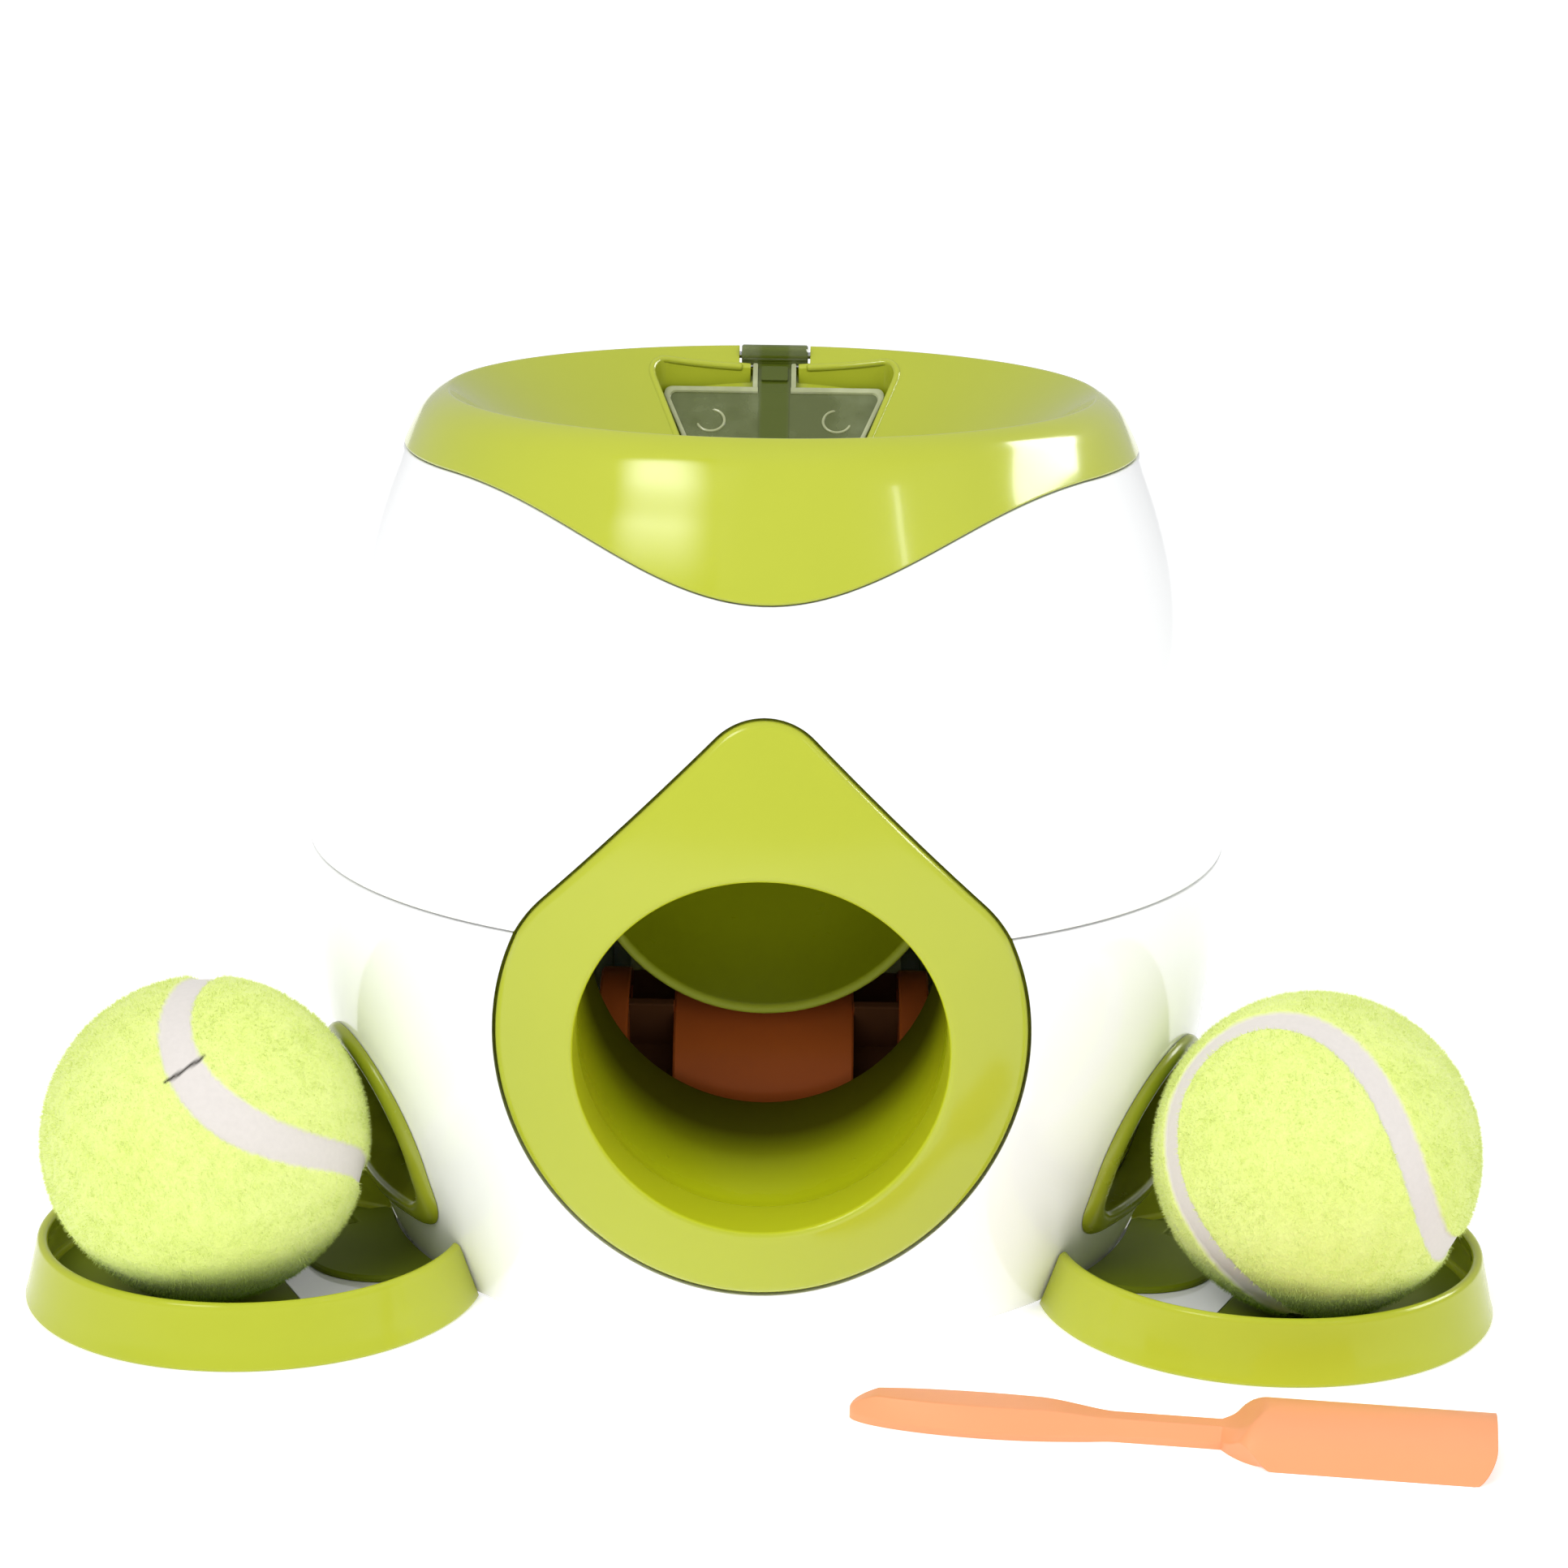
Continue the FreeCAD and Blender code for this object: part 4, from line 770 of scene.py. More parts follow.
def felt_material(name, colours, fibre=False):
    """Napped felt, with the pale rubber seam where the piece has one."""
    material, tree, shader = new_material(name)
    place = wire(tree, "ShaderNodeTexCoord").outputs["Object"]
    tuft = ranged(tree, noise(tree, place, 420.0, 4.0, 0.7), 0.3, 0.7)
    colour = blended(tree, tuft, colours.felt_shade, colours.felt)
    mat = ranged(tree, noise(tree, place, 55.0, 3.0), 0.35, 0.7)
    colour = blended(tree, sums(tree, "MULTIPLY", mat, 0.35), colour, colours.felt_tip)
    height = tuft
    if fibre:
        tone = wire(tree, "ShaderNodeAttribute", attribute_name="tone").outputs["Fac"]
        colour = blended(tree, sums(tree, "MULTIPLY", tone, 0.6), colour, colours.felt_tip)
    # Painted shade: the felt darkens towards the ball's bottom, low in the tray.
    colour = blended(tree, between("Z", 19.0, 8.0)(tree), colour, colours.felt_painted_shade)
    if not fibre:
        seam = wire(tree, "ShaderNodeAttribute", attribute_name="seam").outputs["Fac"]
        split = wire(tree, "ShaderNodeAttribute", attribute_name="split").outputs["Fac"]
        specks = ranged(tree, noise(tree, place, 900.0, 2.0), 0.3, 0.7, 0.0, 0.12)
        rubber = blended(tree, specks, colours.seam, [c * 0.7 for c in colours.seam[:3]])
        colour = blended(tree, seam, colour, rubber)
        colour = blended(tree, split, colour, JOINT_DARK)
        height = sums(tree, "MULTIPLY", tuft, sums(tree, "SUBTRACT", 1.0, seam))
    bump = wire(tree, "ShaderNodeBump", {"Strength": 0.6, "Distance": 0.5 * MM}, {"Height": height})
    tree.links.new(colour, shader.inputs["Base Color"])
    tree.links.new(bump.outputs["Normal"], shader.inputs["Normal"])
    shader.inputs["Roughness"].default_value = 0.9
    shader.inputs["Specular IOR Level"].default_value = 0.15
    shader.inputs["Sheen Weight"].default_value = 0.25
    shader.inputs["Sheen Roughness"].default_value = 0.5
    return material


def smoke_material(name, colour, clear, stripe=None):
    """Tinted clear plastic with cloudy pale patches, partly haze and partly a painted reflection, and a
    stripe of colour down its middle if given.
    """
    material, tree, shader = new_material(name)
    place = wire(tree, "ShaderNodeTexCoord").outputs["Object"]
    # The pale patches are partly haze in the plastic and partly a painted reflection.
    haze_and_reflection = ranged(tree, noise(tree, place, 75.0, 4.0), 0.42, 0.75)
    pale = [min(1.0, c * 1.3 + 0.1) for c in colour[:3]]
    tint = blended(tree, haze_and_reflection, colour, pale)
    if stripe:
        tint = blended(tree, between("X", 3.5, 2.6, True)(tree), tint, stripe)
    tree.links.new(tint, shader.inputs["Base Color"])
    tree.links.new(ranged(tree, haze_and_reflection, 0, 1, 0.06, 0.22), shader.inputs["Roughness"])
    shader.inputs["Transmission Weight"].default_value = clear
    shader.inputs["IOR"].default_value = 1.49
    return material


def make_materials():
    """Every finish of the dispenser, by name."""
    colours = bpy.context.scene.dispenser_colours
    mould_skin_group()
    scuff_group()
    # deep is the colour of the painted shade in the lime's hollows.
    white, lime, orange, deep = colours.white, colours.lime, colours.wheel, colours.lime_painted_shade
    return {
        "white": moulded("white_gloss", white, [c * 0.97 for c in white], 0.4, 0.12, 0.05, 700, 0.015,
                         scuffs=0.15, Coat_Weight=0.3, Coat_Roughness=0.05),
        "lime": moulded("lime_gloss", lime, colours.lime_cast, 0.5, 0.15, 0.05, 800, 0.02, scuffs=0.5,
                        hollow=(9.0, deep), Coat_Weight=0.3, Coat_Roughness=0.06),
        # The inner lime is satin, painted darker than the outer lime as shade, with painted shade in its
        # hollows.
        "lime_inner": moulded("lime_satin_painted_shade", [c * 0.8 for c in lime], [c * 0.72 for c in lime], 0.5, 0.26,
                              0.08, 800, 0.04, hollow=(20.0, deep)),
        # The frame's green is painted lighter on the wall of its opening, as light.
        "lime_frame": moulded("lime_frame", lime, colours.lime_cast, 0.5, 0.15, 0.05, 800, 0.02,
                              scuffs=0.4, shade=(hole_wall, HOLE_WALL_PAINTED_LIGHT)),
        # Painted shade darkens the trays' floor and inner wall.
        "lime_tray": moulded("lime_tray", lime, colours.lime_cast, 0.5, 0.15, 0.05, 800, 0.02, scuffs=0.4,
                             shade=(tray_inside, TRAY_PAINTED_SHADE), dull=0.5, Specular_IOR_Level=0.3),
        # The chute is painted brighter at its front as light and darker towards the wheel as shade.
        "lime_chute": moulded("lime_chute", CHUTE_PAINTED_LIGHT, CHUTE_PAINTED_LIGHT_CAST, 0.5, 0.24, 0.05, 800, 0.03,
                              shade=(between("Y", -68.0, -46.0), CHUTE_PAINTED_SHADE), Specular_IOR_Level=0.1),
        # The slide's lip is painted bright as light, and the rest of the slide darker as shade.
        "lime_slide": moulded("lime_slide", SLIDE_LIP_PAINTED_LIGHT, SLIDE_LIP_PAINTED_LIGHT_CAST, 0.5, 0.3, 0.06, 800, 0.03,
                              shade=(between("Y", SLIDE_LIP_Y + 0.1, SLIDE_LIP_Y + 0.8), SLIDE_PAINTED_SHADE),
                              dull=0.0, Specular_IOR_Level=0.12),
        # Painted shade darkens the wheel's pockets.
        "orange": moulded("wheel_orange", orange, [c * 0.8 for c in orange], 0.5, 0.32, 0.08, 800, 0.05,
                          shade=(pocket_band, POCKET_PAINTED_SHADE), Specular_IOR_Level=0.08),
        "scoop": moulded("scoop_orange", colours.scoop, [c * 0.93 for c in colours.scoop], 0.4, 0.42,
                         0.06, 1000, 0.05, scuffs=0.2),
        "natural": moulded("natural_plastic", *NATURAL, 0.5, 0.42, 0.1, 900, 0.08),
        "steel": moulded("zinc_steel", *STEEL, 0.6, 0.3, 0.15, 1400, 0.1, Metallic=1.0),
        "foot": moulded("foot_rubber", *FOOT, 0.5, 0.7, 0.1, 1200, 0.2),
        "core": moulded("core_rubber", *CORE, 0.5, 0.75, 0.1, 1200, 0.2),
        "smoke": smoke_material("smoke_clear_plastic", colours.smoke, 0.55, STRIPE_DARK),
        # The edge's paler, less clear colour is a painted highlight where the raised border and ribs catch
        # light.
        "smoke_edge_painted_highlight": smoke_material("smoke_edge_plastic", colours.smoke_edge_painted_highlight, 0.3),
        "felt": felt_material("ball_felt", colours),
        "nap": felt_material("ball_nap", colours, fibre=True),
    }


def finish_named(name):
    """The material of that finish, made with all the others on first use."""
    if "finishes" not in STORE:
        STORE["finishes"] = make_materials()
    return STORE["finishes"][name]


STORE = {}


# ------------------------------------------------------------------ shells and funnel

def around(ring):
    """The loops of a piece whose section (radius, height) depends on the azimuth."""
    loops = []
    for k in range(AROUND):
        turn = 2 * math.pi * (k + 0.5) / AROUND
        loops.append([(r * math.cos(turn), r * math.sin(turn), z) for r, z in ring(turn)])
    return loops


def wall_line(z0, z1, offset, count):
    return [(float(barrel_r(z, offset)), float(z)) for z in np.linspace(z0, z1, count)]


def upper_section(azimuth):
    """Section of the upper shell: wall, step under the skirt, shelf and rebate."""
    sizes = bpy.context.scene.dispenser_sizes
    soft = sizes.shell_edge
    low, top = PARTING_Z + sizes.parting_gap / 2, hem_z(azimuth) - FIT_GAP
    step, inner, rebate = -SKIRT - FIT_GAP, -WALL, -WALL / 2
    roof, shelf_top = SHELL_TOP_Z, SHELF_Z + SHELF_T
    section = [(barrel_r(low) - soft, low), (barrel_r(low) - soft * 0.3, low + soft * 0.3)]
    section += wall_line(low + soft, top - soft, 0, 44)
    section += [(barrel_r(top) - soft * 0.3, top - soft * 0.3), (barrel_r(top) - soft, top)]
    section += [(barrel_r(top, step), top), (barrel_r(roof, step), roof)]
    section += wall_line(roof, shelf_top, inner, 8) + [(SHELF_R, shelf_top), (SHELF_R, SHELF_Z)]
    section += wall_line(SHELF_Z, PARTING_Z + LIP_H + FIT_GAP, inner, 14)
    return section + wall_line(PARTING_Z + LIP_H + FIT_GAP, low, rebate, 2)


def lower_section():
    """Section of the lower shell: wall, lip at its top and ledge at its foot."""
    sizes = bpy.context.scene.dispenser_sizes
    soft = sizes.shell_edge
    low, top = LOW_Z, PARTING_Z - sizes.parting_gap / 2
    lip_top, lip = PARTING_Z + LIP_H, -WALL / 2 - FIT_GAP
    section = [(barrel_r(low) - soft, low), (barrel_r(low + soft * 0.3) - soft * 0.3, low + soft * 0.3)]
    section += wall_line(low + soft, top - soft, 0, 44)
    section += [(barrel_r(top) - soft * 0.3, top - soft * 0.3), (barrel_r(top) - soft, top)]
    section += wall_line(top, lip_top, lip, 2)
    section += wall_line(lip_top, FLOOR_TOP_Z + LEDGE, -WALL, 24)
    section += [(barrel_r(FLOOR_TOP_Z + LEDGE, -WALL - LEDGE), FLOOR_TOP_Z + LEDGE)]
    section += [(barrel_r(FLOOR_TOP_Z, -WALL - LEDGE), FLOOR_TOP_Z)]
    return section + wall_line(FLOOR_TOP_Z, low, -WALL, 2)


def front_cut():
    return prism("front_cut", teardrop(FRAME_GAP), -BELLY_R - 5, CUT_END_Y, lambda x, z, y: (x, y, z))


def side_cut(side):
    """The hole for a side outlet's ring."""
    outline = arch(ARCH_LAP - FIT_GAP)
    tool = prism("side_cut", outline, 60.0, BELLY_R + 10, lambda y, z, x: (x, y, z))
    tool = turned(tool, SIDE_TURN)
    if side < 0:
        twin = mirrored(tool, "side_cut_left")
        bpy.data.objects.remove(tool)
        tool = twin
    return tool


def runner_cut(side):
    """The slot under the wall for a tray's runner."""
    tool = block("runner_cut", (70, -RUNNER_CUT_HALF, LOW_Z - FIT_GAP),
                 (110, RUNNER_CUT_HALF, RUNNER_SLOT_Z), 0)
    return turned(tool, SIDE_TURN if side > 0 else 180 - SIDE_TURN)


def make_upper_shell():
    shell = lofted("upper_wall", around(upper_section), ring=True)
    combine(shell, front_cut(), "DIFFERENCE")
    low, high = node_box("hopper_bin")
    duct = block("duct", (-DUCT_HALF, low.y + DUCT_WALL, SHELF_Z - 1),
                 (DUCT_HALF, high.y - DUCT_WALL, SHELF_Z + SHELF_T + 1), 0)
    combine(shell, duct, "DIFFERENCE")
    return finished(shell, "shell_upper", "housing", finish_named("white"), ["upper_shell"])


def make_lower_shell():
    shell = spun("lower_wall", lower_section())
    combine(shell, front_cut(), "DIFFERENCE")
    for side in (1, -1):
        combine(shell, side_cut(side), "DIFFERENCE")
        combine(shell, runner_cut(side), "DIFFERENCE")
    return finished(shell, "shell_lower", "housing", finish_named("white"), ["lower_shell"])


def funnel_section(azimuth):
    """Section of the funnel: collar, bowl, crest, shoulder, skirt and hem."""
    sizes = bpy.context.scene.dispenser_sizes
    soft = sizes.hem_edge
    hem = hem_z(azimuth)
    end_slope = math.degrees(math.atan2(math.sqrt(BARREL_ARC ** 2 - (SHOULDER_END_Z - BELLY_Z) ** 2),
                                        SHOULDER_END_Z - BELLY_Z))
    shoulder_end = (float(barrel_r(SHOULDER_END_Z)), SHOULDER_END_Z)
    over = swept((CREST_R, CREST_Z), SHOULDER_SLOPES[0], SHOULDER_BEND, SHOULDER_SLOPES[1], 24)
    over += swept(SHOULDER_BEND, SHOULDER_SLOPES[1], shoulder_end, end_slope, 24)[1:]
    path = np.array(over + wall_line(SHOULDER_END_Z, COLLAR_Z, 0, 60)[1:])
    hem_r = float(np.interp(-(hem + soft), -path[:, 1], path[:, 0]))
    crest_in = (CREST_R - 5, bowl_z(CREST_R - 5))
    crest = eased(crest_in, over[0], over[1], 0.45, 4)
    outer = [crest[-1]] + [tuple(p) for p in path if hem + soft < p[1] < crest[-1][1]] + [(hem_r, hem + soft)]
    outer = evenly(outer, 46)
    turns = np.radians([30, 60, 90])
    outer += [(hem_r - soft + soft * math.cos(t), hem + soft - soft * math.sin(t)) for t in turns]
    in_r = float(barrel_r(hem + soft, -SKIRT))
    outer += [(in_r + soft - soft * math.cos(t), hem + soft - soft * math.sin(t)) for t in reversed(turns)]
    roof_z = SHOULDER_Z + 1.5
    inner = wall_line(hem + soft, roof_z, -SKIRT, 6)
    ridge_r, collar_r = CREST_R - 1, THROAT_R + THROAT_WALL
    ridge, neck = (ridge_r, bowl_z(ridge_r) - BOWL_WALL), (collar_r, bowl_z(collar_r) - BOWL_WALL)
    under = evenly([ridge, neck], 12) + [(collar_r, COLLAR_Z), (THROAT_R, COLLAR_Z)]
    lip = eased((THROAT_R, COLLAR_Z), (THROAT_R, bowl_z(THROAT_R)), crest_in, sizes.throat_edge, 5)
    bowl = evenly([lip[-1], crest[0]], 24)[1:-1]
    return crest[:-1] + outer + inner + under + lip + bowl


def under_bowl():
    """The round under the middle of the bowl's wall."""
    rim, low, sunk = CREST_R - 0.8, COLLAR_Z - 5, BOWL_WALL / 2
    return spun("under_bowl", [(0, low), (rim, low), (rim, bowl_z(rim) - sunk), (0, bowl_z(0) - sunk)])


def on_lid_plane(depth):
    """Places a plan outline: level 0 on the sloping plane, level 1 high above it."""
    return lambda x, y, level: (x, y, lid_plane_z(y, depth) if level == 0 else CREST_Z + 12)


def make_funnel():
    """The funnel with its screw bosses, the lid's seat and neck, the treats' mouth and the hinge's notch."""
    sizes = bpy.context.scene.dispenser_sizes
    funnel = lofted("funnel_ring", around(funnel_section), ring=True)
    duct = prism("duct_outer", recess_outline(RECESS_WALL), COLLAR_Z, CREST_Z, lambda x, y, z: (x, y, z))
    bosses = [rod("boss", (a * BOSS_XY, b * BOSS_XY, COLLAR_Z), BOSS_H, BOSS_R)
              for a in (-1, 1) for b in (-1, 1)]
    below = combine(joined([duct] + bosses), under_bowl(), "INTERSECT", own=True)
    combine(funnel, below, "UNION")
    combine(funnel, prism("seat", recess_outline(0), 0, 1, on_lid_plane(SEAT_DEPTH)), "DIFFERENCE")
    combine(funnel, prism("mouth", keystone(-MOUTH_INSET, LID_CORNER), 0, 1, on_lid_plane(MOUTH_DEPTH)),
            "DIFFERENCE")
    half = NECK_HALF + LID_GAP
    neck = [(half, LID_REAR_Y), (half, HINGE_Y), (-half, HINGE_Y), (-half, LID_REAR_Y)]
    combine(funnel, prism("neck", neck, 0, 1, on_lid_plane(SEAT_DEPTH)), "DIFFERENCE")
    notch_z = HINGE_Z - HINGE_R - LID_GAP
    notch = block("notch", (-HINGE_HALF - LID_GAP, HINGE_Y - HINGE_R - LID_GAP, notch_z),
                  (HINGE_HALF + LID_GAP, CREST_R + 8, CREST_Z + 12), 0)
    combine(funnel, notch, "DIFFERENCE")
    combine(funnel, recess_bead(sizes.recess_bead), "UNION")
    return finished(funnel, "funnel", "housing", finish_named("lime"), ["funnel_top"])


def recess_bead(radius):
    """The rolled edge round the lid's recess, open at the neck."""
    sink = 0.55 * radius
    outline = recess_outline(sink)
    half = NECK_HALF + LID_GAP + radius
    gap = [i for i, (x, y) in enumerate(outline) if y > LID_REAR_Y and abs(x) < half]
    path = evenly(outline[gap[-1] + 1:] + outline[:gap[0]], 170)
    return tube("recess_bead", [(x, y, bowl_z(math.hypot(x, y)) - sink) for x, y in path], radius,
                (0, -BOWL_SLOPE, 1), sides=12)


# ------------------------------------------------------------------ lid

def on_slope(x, y, lift):
    """A point over the lid's plane, lifted square to it."""
    square = Vector((0, -BOWL_SLOPE, 1)).normalized()
    return Vector((x, y, lid_plane_z(y, LID_SINK))) + square * lift


def make_lid():
    """The lid's panel and neck, and its raised edge as a piece of its own."""
    sizes = bpy.context.scene.dispenser_sizes
    thick = LID_T / math.sqrt(1 + BOWL_SLOPE ** 2)
    border, sunk = sizes.lid_border, LID_FACE

    def plate(name, half, front, rear, low, high):
        plan = rounded([(half, rear, 0.3), (-half, rear, 0.3), (-half, front, 0.3), (half, front, 0.3)], 2)
        return prism(name, plan, low, high, on_slope)

    def loops_at(levels):
        loops = []
        for inset, lift in levels:
            outline = keystone(-LID_GAP - inset, max(LID_CORNER - inset * 0.4, 0.4), PANEL_REAR_Y)
            loops.append([on_slope(x, y, lift) for x, y in outline])
        return loops

    panel = lofted("lid_panel", loops_at([(0.35, -thick), (0.0, 0.35 - thick), (0.0, -sunk), (2.0, -sunk)]))
    neck_y = PANEL_REAR_Y - LID_GAP - border
    neck = plate("lid_neck", NECK_HALF, neck_y - 1, HINGE_Y, -thick + 0.02, -sunk - 0.02)
    step = plate("lid_step", 2.8, PANEL_REAR_Y + 0.9, HINGE_Y - 2.4, -0.9, 0.1)
    strip = plate("lid_strip", 3.1, LID_FRONT_Y + 3.0, neck_y, -0.9, -sunk + 0.22)
    bar = rod("lid_bar", (-HINGE_HALF, HINGE_Y, HINGE_Z), 2 * HINGE_HALF, HINGE_R, "X", 0.3, 40)
    bore = rod("lid_bore", (-HINGE_HALF - 1, HINGE_Y, HINGE_Z), 2 * HINGE_HALF + 2, LID_BORE_R, "X", 0.01, 24)
    lid = combine(added([panel, neck, step, strip, bar]), bore, "DIFFERENCE")
    finished(lid, "lid_panel_and_neck", "lid", finish_named("smoke"), ["hopper_lid"])

    low = 0.06 - sunk
    ridge = [(0.0, low), (0.0, -0.1), (0.12, 0.06), (0.4, 0.14)]
    ridge += [(border - 0.3, 0.14), (border, 0.0), (border + 0.15, low)]
    edge = lofted("lid_edge", loops_at(ridge), ring=True)
    combine(edge, plate("neck_gap", NECK_HALF - 1.1, neck_y - 1, HINGE_Y, -1.5, 1.5), "DIFFERENCE")
    for side in (-1, 1):
        rail = plate("neck_rail", 0.5, PANEL_REAR_Y - LID_GAP - 0.3, HINGE_Y - HINGE_R + 0.4, low, 0.12)
        rail.data.transform(Matrix.Translation((side * (NECK_HALF - 0.52) * MM, 0, 0)))
        combine(edge, rail, "UNION")
        wide, deep = FINGER_REACH
        path = [on_slope(side * (FINGER_X + wide * math.cos(t)), FINGER_Y + deep * math.sin(t), -sunk + 0.05)
                for t in np.radians(np.linspace(95, 345, 30))]
        edge = joined([edge, tube("finger_rib", path, sizes.finger_rib, (0, -BOWL_SLOPE, 1), sides=8)])
    return finished(edge, "lid_edge", "lid", finish_named("smoke_edge_painted_highlight"))


def make_hinge_pin():
    """The steel pin, held by the funnel at both sides of the notch."""
    pin = rod("pin", (-PIN_HALF, HINGE_Y, HINGE_Z), 2 * PIN_HALF, PIN_R, "X", 0.2, 24)
    return finished(pin, "hinge_pin", "housing", finish_named("steel"), ["lid_hinge_pin"])


# ------------------------------------------------------------------ ball path

def make_front_frame():
    """The teardrop frame, lofted as sections that run round its hole."""
    sizes = bpy.context.scene.dispenser_sizes
    hole_soft, rim_soft = sizes.hole_edge, sizes.frame_edge
    plain, lapped = teardrop(0), teardrop(FLANGE)
    shrunk = [teardrop(-rim_soft * (1 - math.sin(b))) for b in np.radians([0, 22, 45, 68, 90])]
    back = -WALL - FIT_GAP
    loops = []
    for i, (px, pz) in enumerate(plain):
        way = Vector((px, pz - HOLE_Z)).normalized()

        def at(radius, offset=FRAME_PROUD, shift=0.0, y=None):
            x, z = way.x * radius, HOLE_Z + way.y * radius
            return (x, front_y(x, z, offset) + shift if y is None else y, z)

        loop = [at(HOLE_R, y=CHUTE_START_Y - FIT_GAP)]
        mouth = at(HOLE_R, shift=hole_soft)
        loop.append(at(HOLE_R, y=loop[0][1] + (mouth[1] - loop[0][1]) * 0.5))
        loop += [at(HOLE_R + hole_soft * (1 - math.cos(a)), shift=hole_soft * (1 - math.sin(a)))
                 for a in np.radians([0, 18, 36, 54, 72, 90])]
        inner = Vector(at(HOLE_R + hole_soft)).xz
        outer = Vector(shrunk[0][i])
        for t in np.linspace(0, 1, 11)[1:]:
            p = inner.lerp(outer, t)
            loop.append((p.x, front_y(p.x, p.y, FRAME_PROUD), p.y))
        for b, outline in zip(np.radians([22, 45, 68, 90]), shrunk[1:]):
            x, z = outline[i]
            loop.append((x, front_y(x, z, FRAME_PROUD) + rim_soft * (1 - math.cos(b)), z))
        loop.append((px, front_y(px, pz, back), pz))
        lx, lz = lapped[i]
        loop += [(lx, front_y(lx, lz, back), lz), (lx, front_y(lx, lz, back - FLANGE_T), lz)]
        loop += [at(HOLE_R + CHUTE_WALL, back - FLANGE_T), at(HOLE_R + CHUTE_WALL, y=loop[0][1])]
        loops.append(loop)
    surround = lofted("front_ring", loops, ring=True)
    return finished(surround, "frame_front", "housing", finish_named("lime_frame"),
                    ["front_frame"])


def smooth_share(value):
    """A share from 0 to 1 that starts and ends gently."""
    value = min(max(value, 0.0), 1.0)
    return value * value * (3 - 2 * value)


def trough_outline(inner, outer, centre_z, top_z, stretch=1.0):
    """A round-bottomed trough's closed section in x and z, its rims rounded at top_z."""
    mid, rim = (inner + outer) / 2, (outer - inner) / 2
    rise = top_z - rim - centre_z
    reach = math.degrees(math.asin(max(-1.0, min(1.0, rise / (mid * stretch))))) if rise < 0 else 0.0
    points = []
    for radius, way in ((inner, 1), (outer, -1)):
        line = arc((0, 0), radius, 180 - reach, 360 + reach, TROUGH_STEPS)
        line = [(x, centre_z + z * stretch) for x, z in line]
        ends = (line[0], line[-1])
        if rise >= 0:
            ends = ((-radius, centre_z + rise), (radius, centre_z + rise))
        line = [ends[0], *line, ends[1]][::way]
        points += line
        if way > 0:
            right = line[-1]
            centre = (right[0] + rim, right[1])
            points += arc(centre, rim, 180, 0, 6)[1:-1]
    left = points[-1]
    return points + arc((left[0] + rim, left[1]), rim, 180, 0, 6)[1:-1]


def make_chute():
    """The half pipe that leads from the wheel to the front opening."""
    stretch = 1 / math.cos(math.atan(CHUTE_TILT))
    rim_z = HOLE_Z + (CHUTE_REAR_Y - HOLE_Y) * CHUTE_TILT
    stations = evenly([(CHUTE_START_Y, 0), (CHUTE_REAR_Y - 0.6, 0)], 30)
    stations += [(CHUTE_REAR_Y - 0.25, 0.3), (CHUTE_REAR_Y, 0.7)]
    loops = []
    for y, thin in stations:
        share = smooth_share((y - CHUTE_START_Y) / CHUTE_EASE)
        centre = HOLE_Z + share * (y - HOLE_Y) * CHUTE_TILT
        section = trough_outline(HOLE_R + thin, HOLE_R + CHUTE_WALL - thin, centre, rim_z,
                                 1 + (stretch - 1) * share)
        loops.append([(x, y, z) for x, z in section])
    pieces = [lofted("chute_pipe", loops)]
    wide, deep = LEG_HALF
    for x in (-LEG_X, LEG_X):
        for y in LEG_YS:
            centre = HOLE_Z + (y - HOLE_Y) * CHUTE_TILT
            top = centre - math.sqrt(LEG_REACH ** 2 - LEG_X ** 2) - LEG_GAP
            pieces.append(block("chute_leg", (x - wide, y - deep, FLOOR_TOP_Z), (x + wide, y + deep, top)))
    return finished(joined(pieces), "chute", "housing", finish_named("lime_chute"),
                    ["front_chute"])


def make_slide():
    """The slide under the throat, with its round lip, closed rear and four lugs."""
    wall = CHUTE_WALL
    marks = [(SLIDE_LIP_Y + d, 1 - math.sqrt(1 - (1 - d) ** 2)) for d in (0.01, 0.08, 0.25, 0.5, 0.75, 1.0)]
    marks += [(y, 0.0) for y in np.linspace(SLIDE_LIP_Y + 2, SLIDE_REAR_Y + wall, 28)]
    loops = []
    for y, thin in marks:
        centre = SLIDE_LIP_Z + (y - SLIDE_LIP_Y) * SLIDE_TILT + SLIDE_R
        top = min(centre + SLIDE_SIDE, SLIDE_TOP_Z)
        section = trough_outline(SLIDE_R + thin, SLIDE_R + wall - thin, centre, top)
        loops.append([(x, y, z) for x, z in section])
    slide = lofted("slide_trough", loops)
    rear = []
    for y in (SLIDE_REAR_Y, SLIDE_REAR_Y + wall):
        centre = SLIDE_LIP_Z + (y - SLIDE_LIP_Y) * SLIDE_TILT + SLIDE_R
        top = SLIDE_TOP_Z - 0.5
        section = arc((0, centre), SLIDE_R + wall / 2, 180, 360, TROUGH_STEPS)
        rear.append([(x, y, z) for x, z in [(-SLIDE_R - 1, top)] + section + [(SLIDE_R + 1, top)]])
    parts = [slide, lofted("slide_rear", rear)]
    for side in (-1, 1):
        low, high = sorted(side * x for x in LUG_X)
        parts += [block("slide_lug", (low, y - LUG_HALF, LUG_Z[0]), (high, y + LUG_HALF, LUG_Z[1]), 0.5)
                  for y in LUG_YS]
    return finished(added(parts), "slide", "housing", finish_named("lime_slide"),
                    ["ball_slide"])


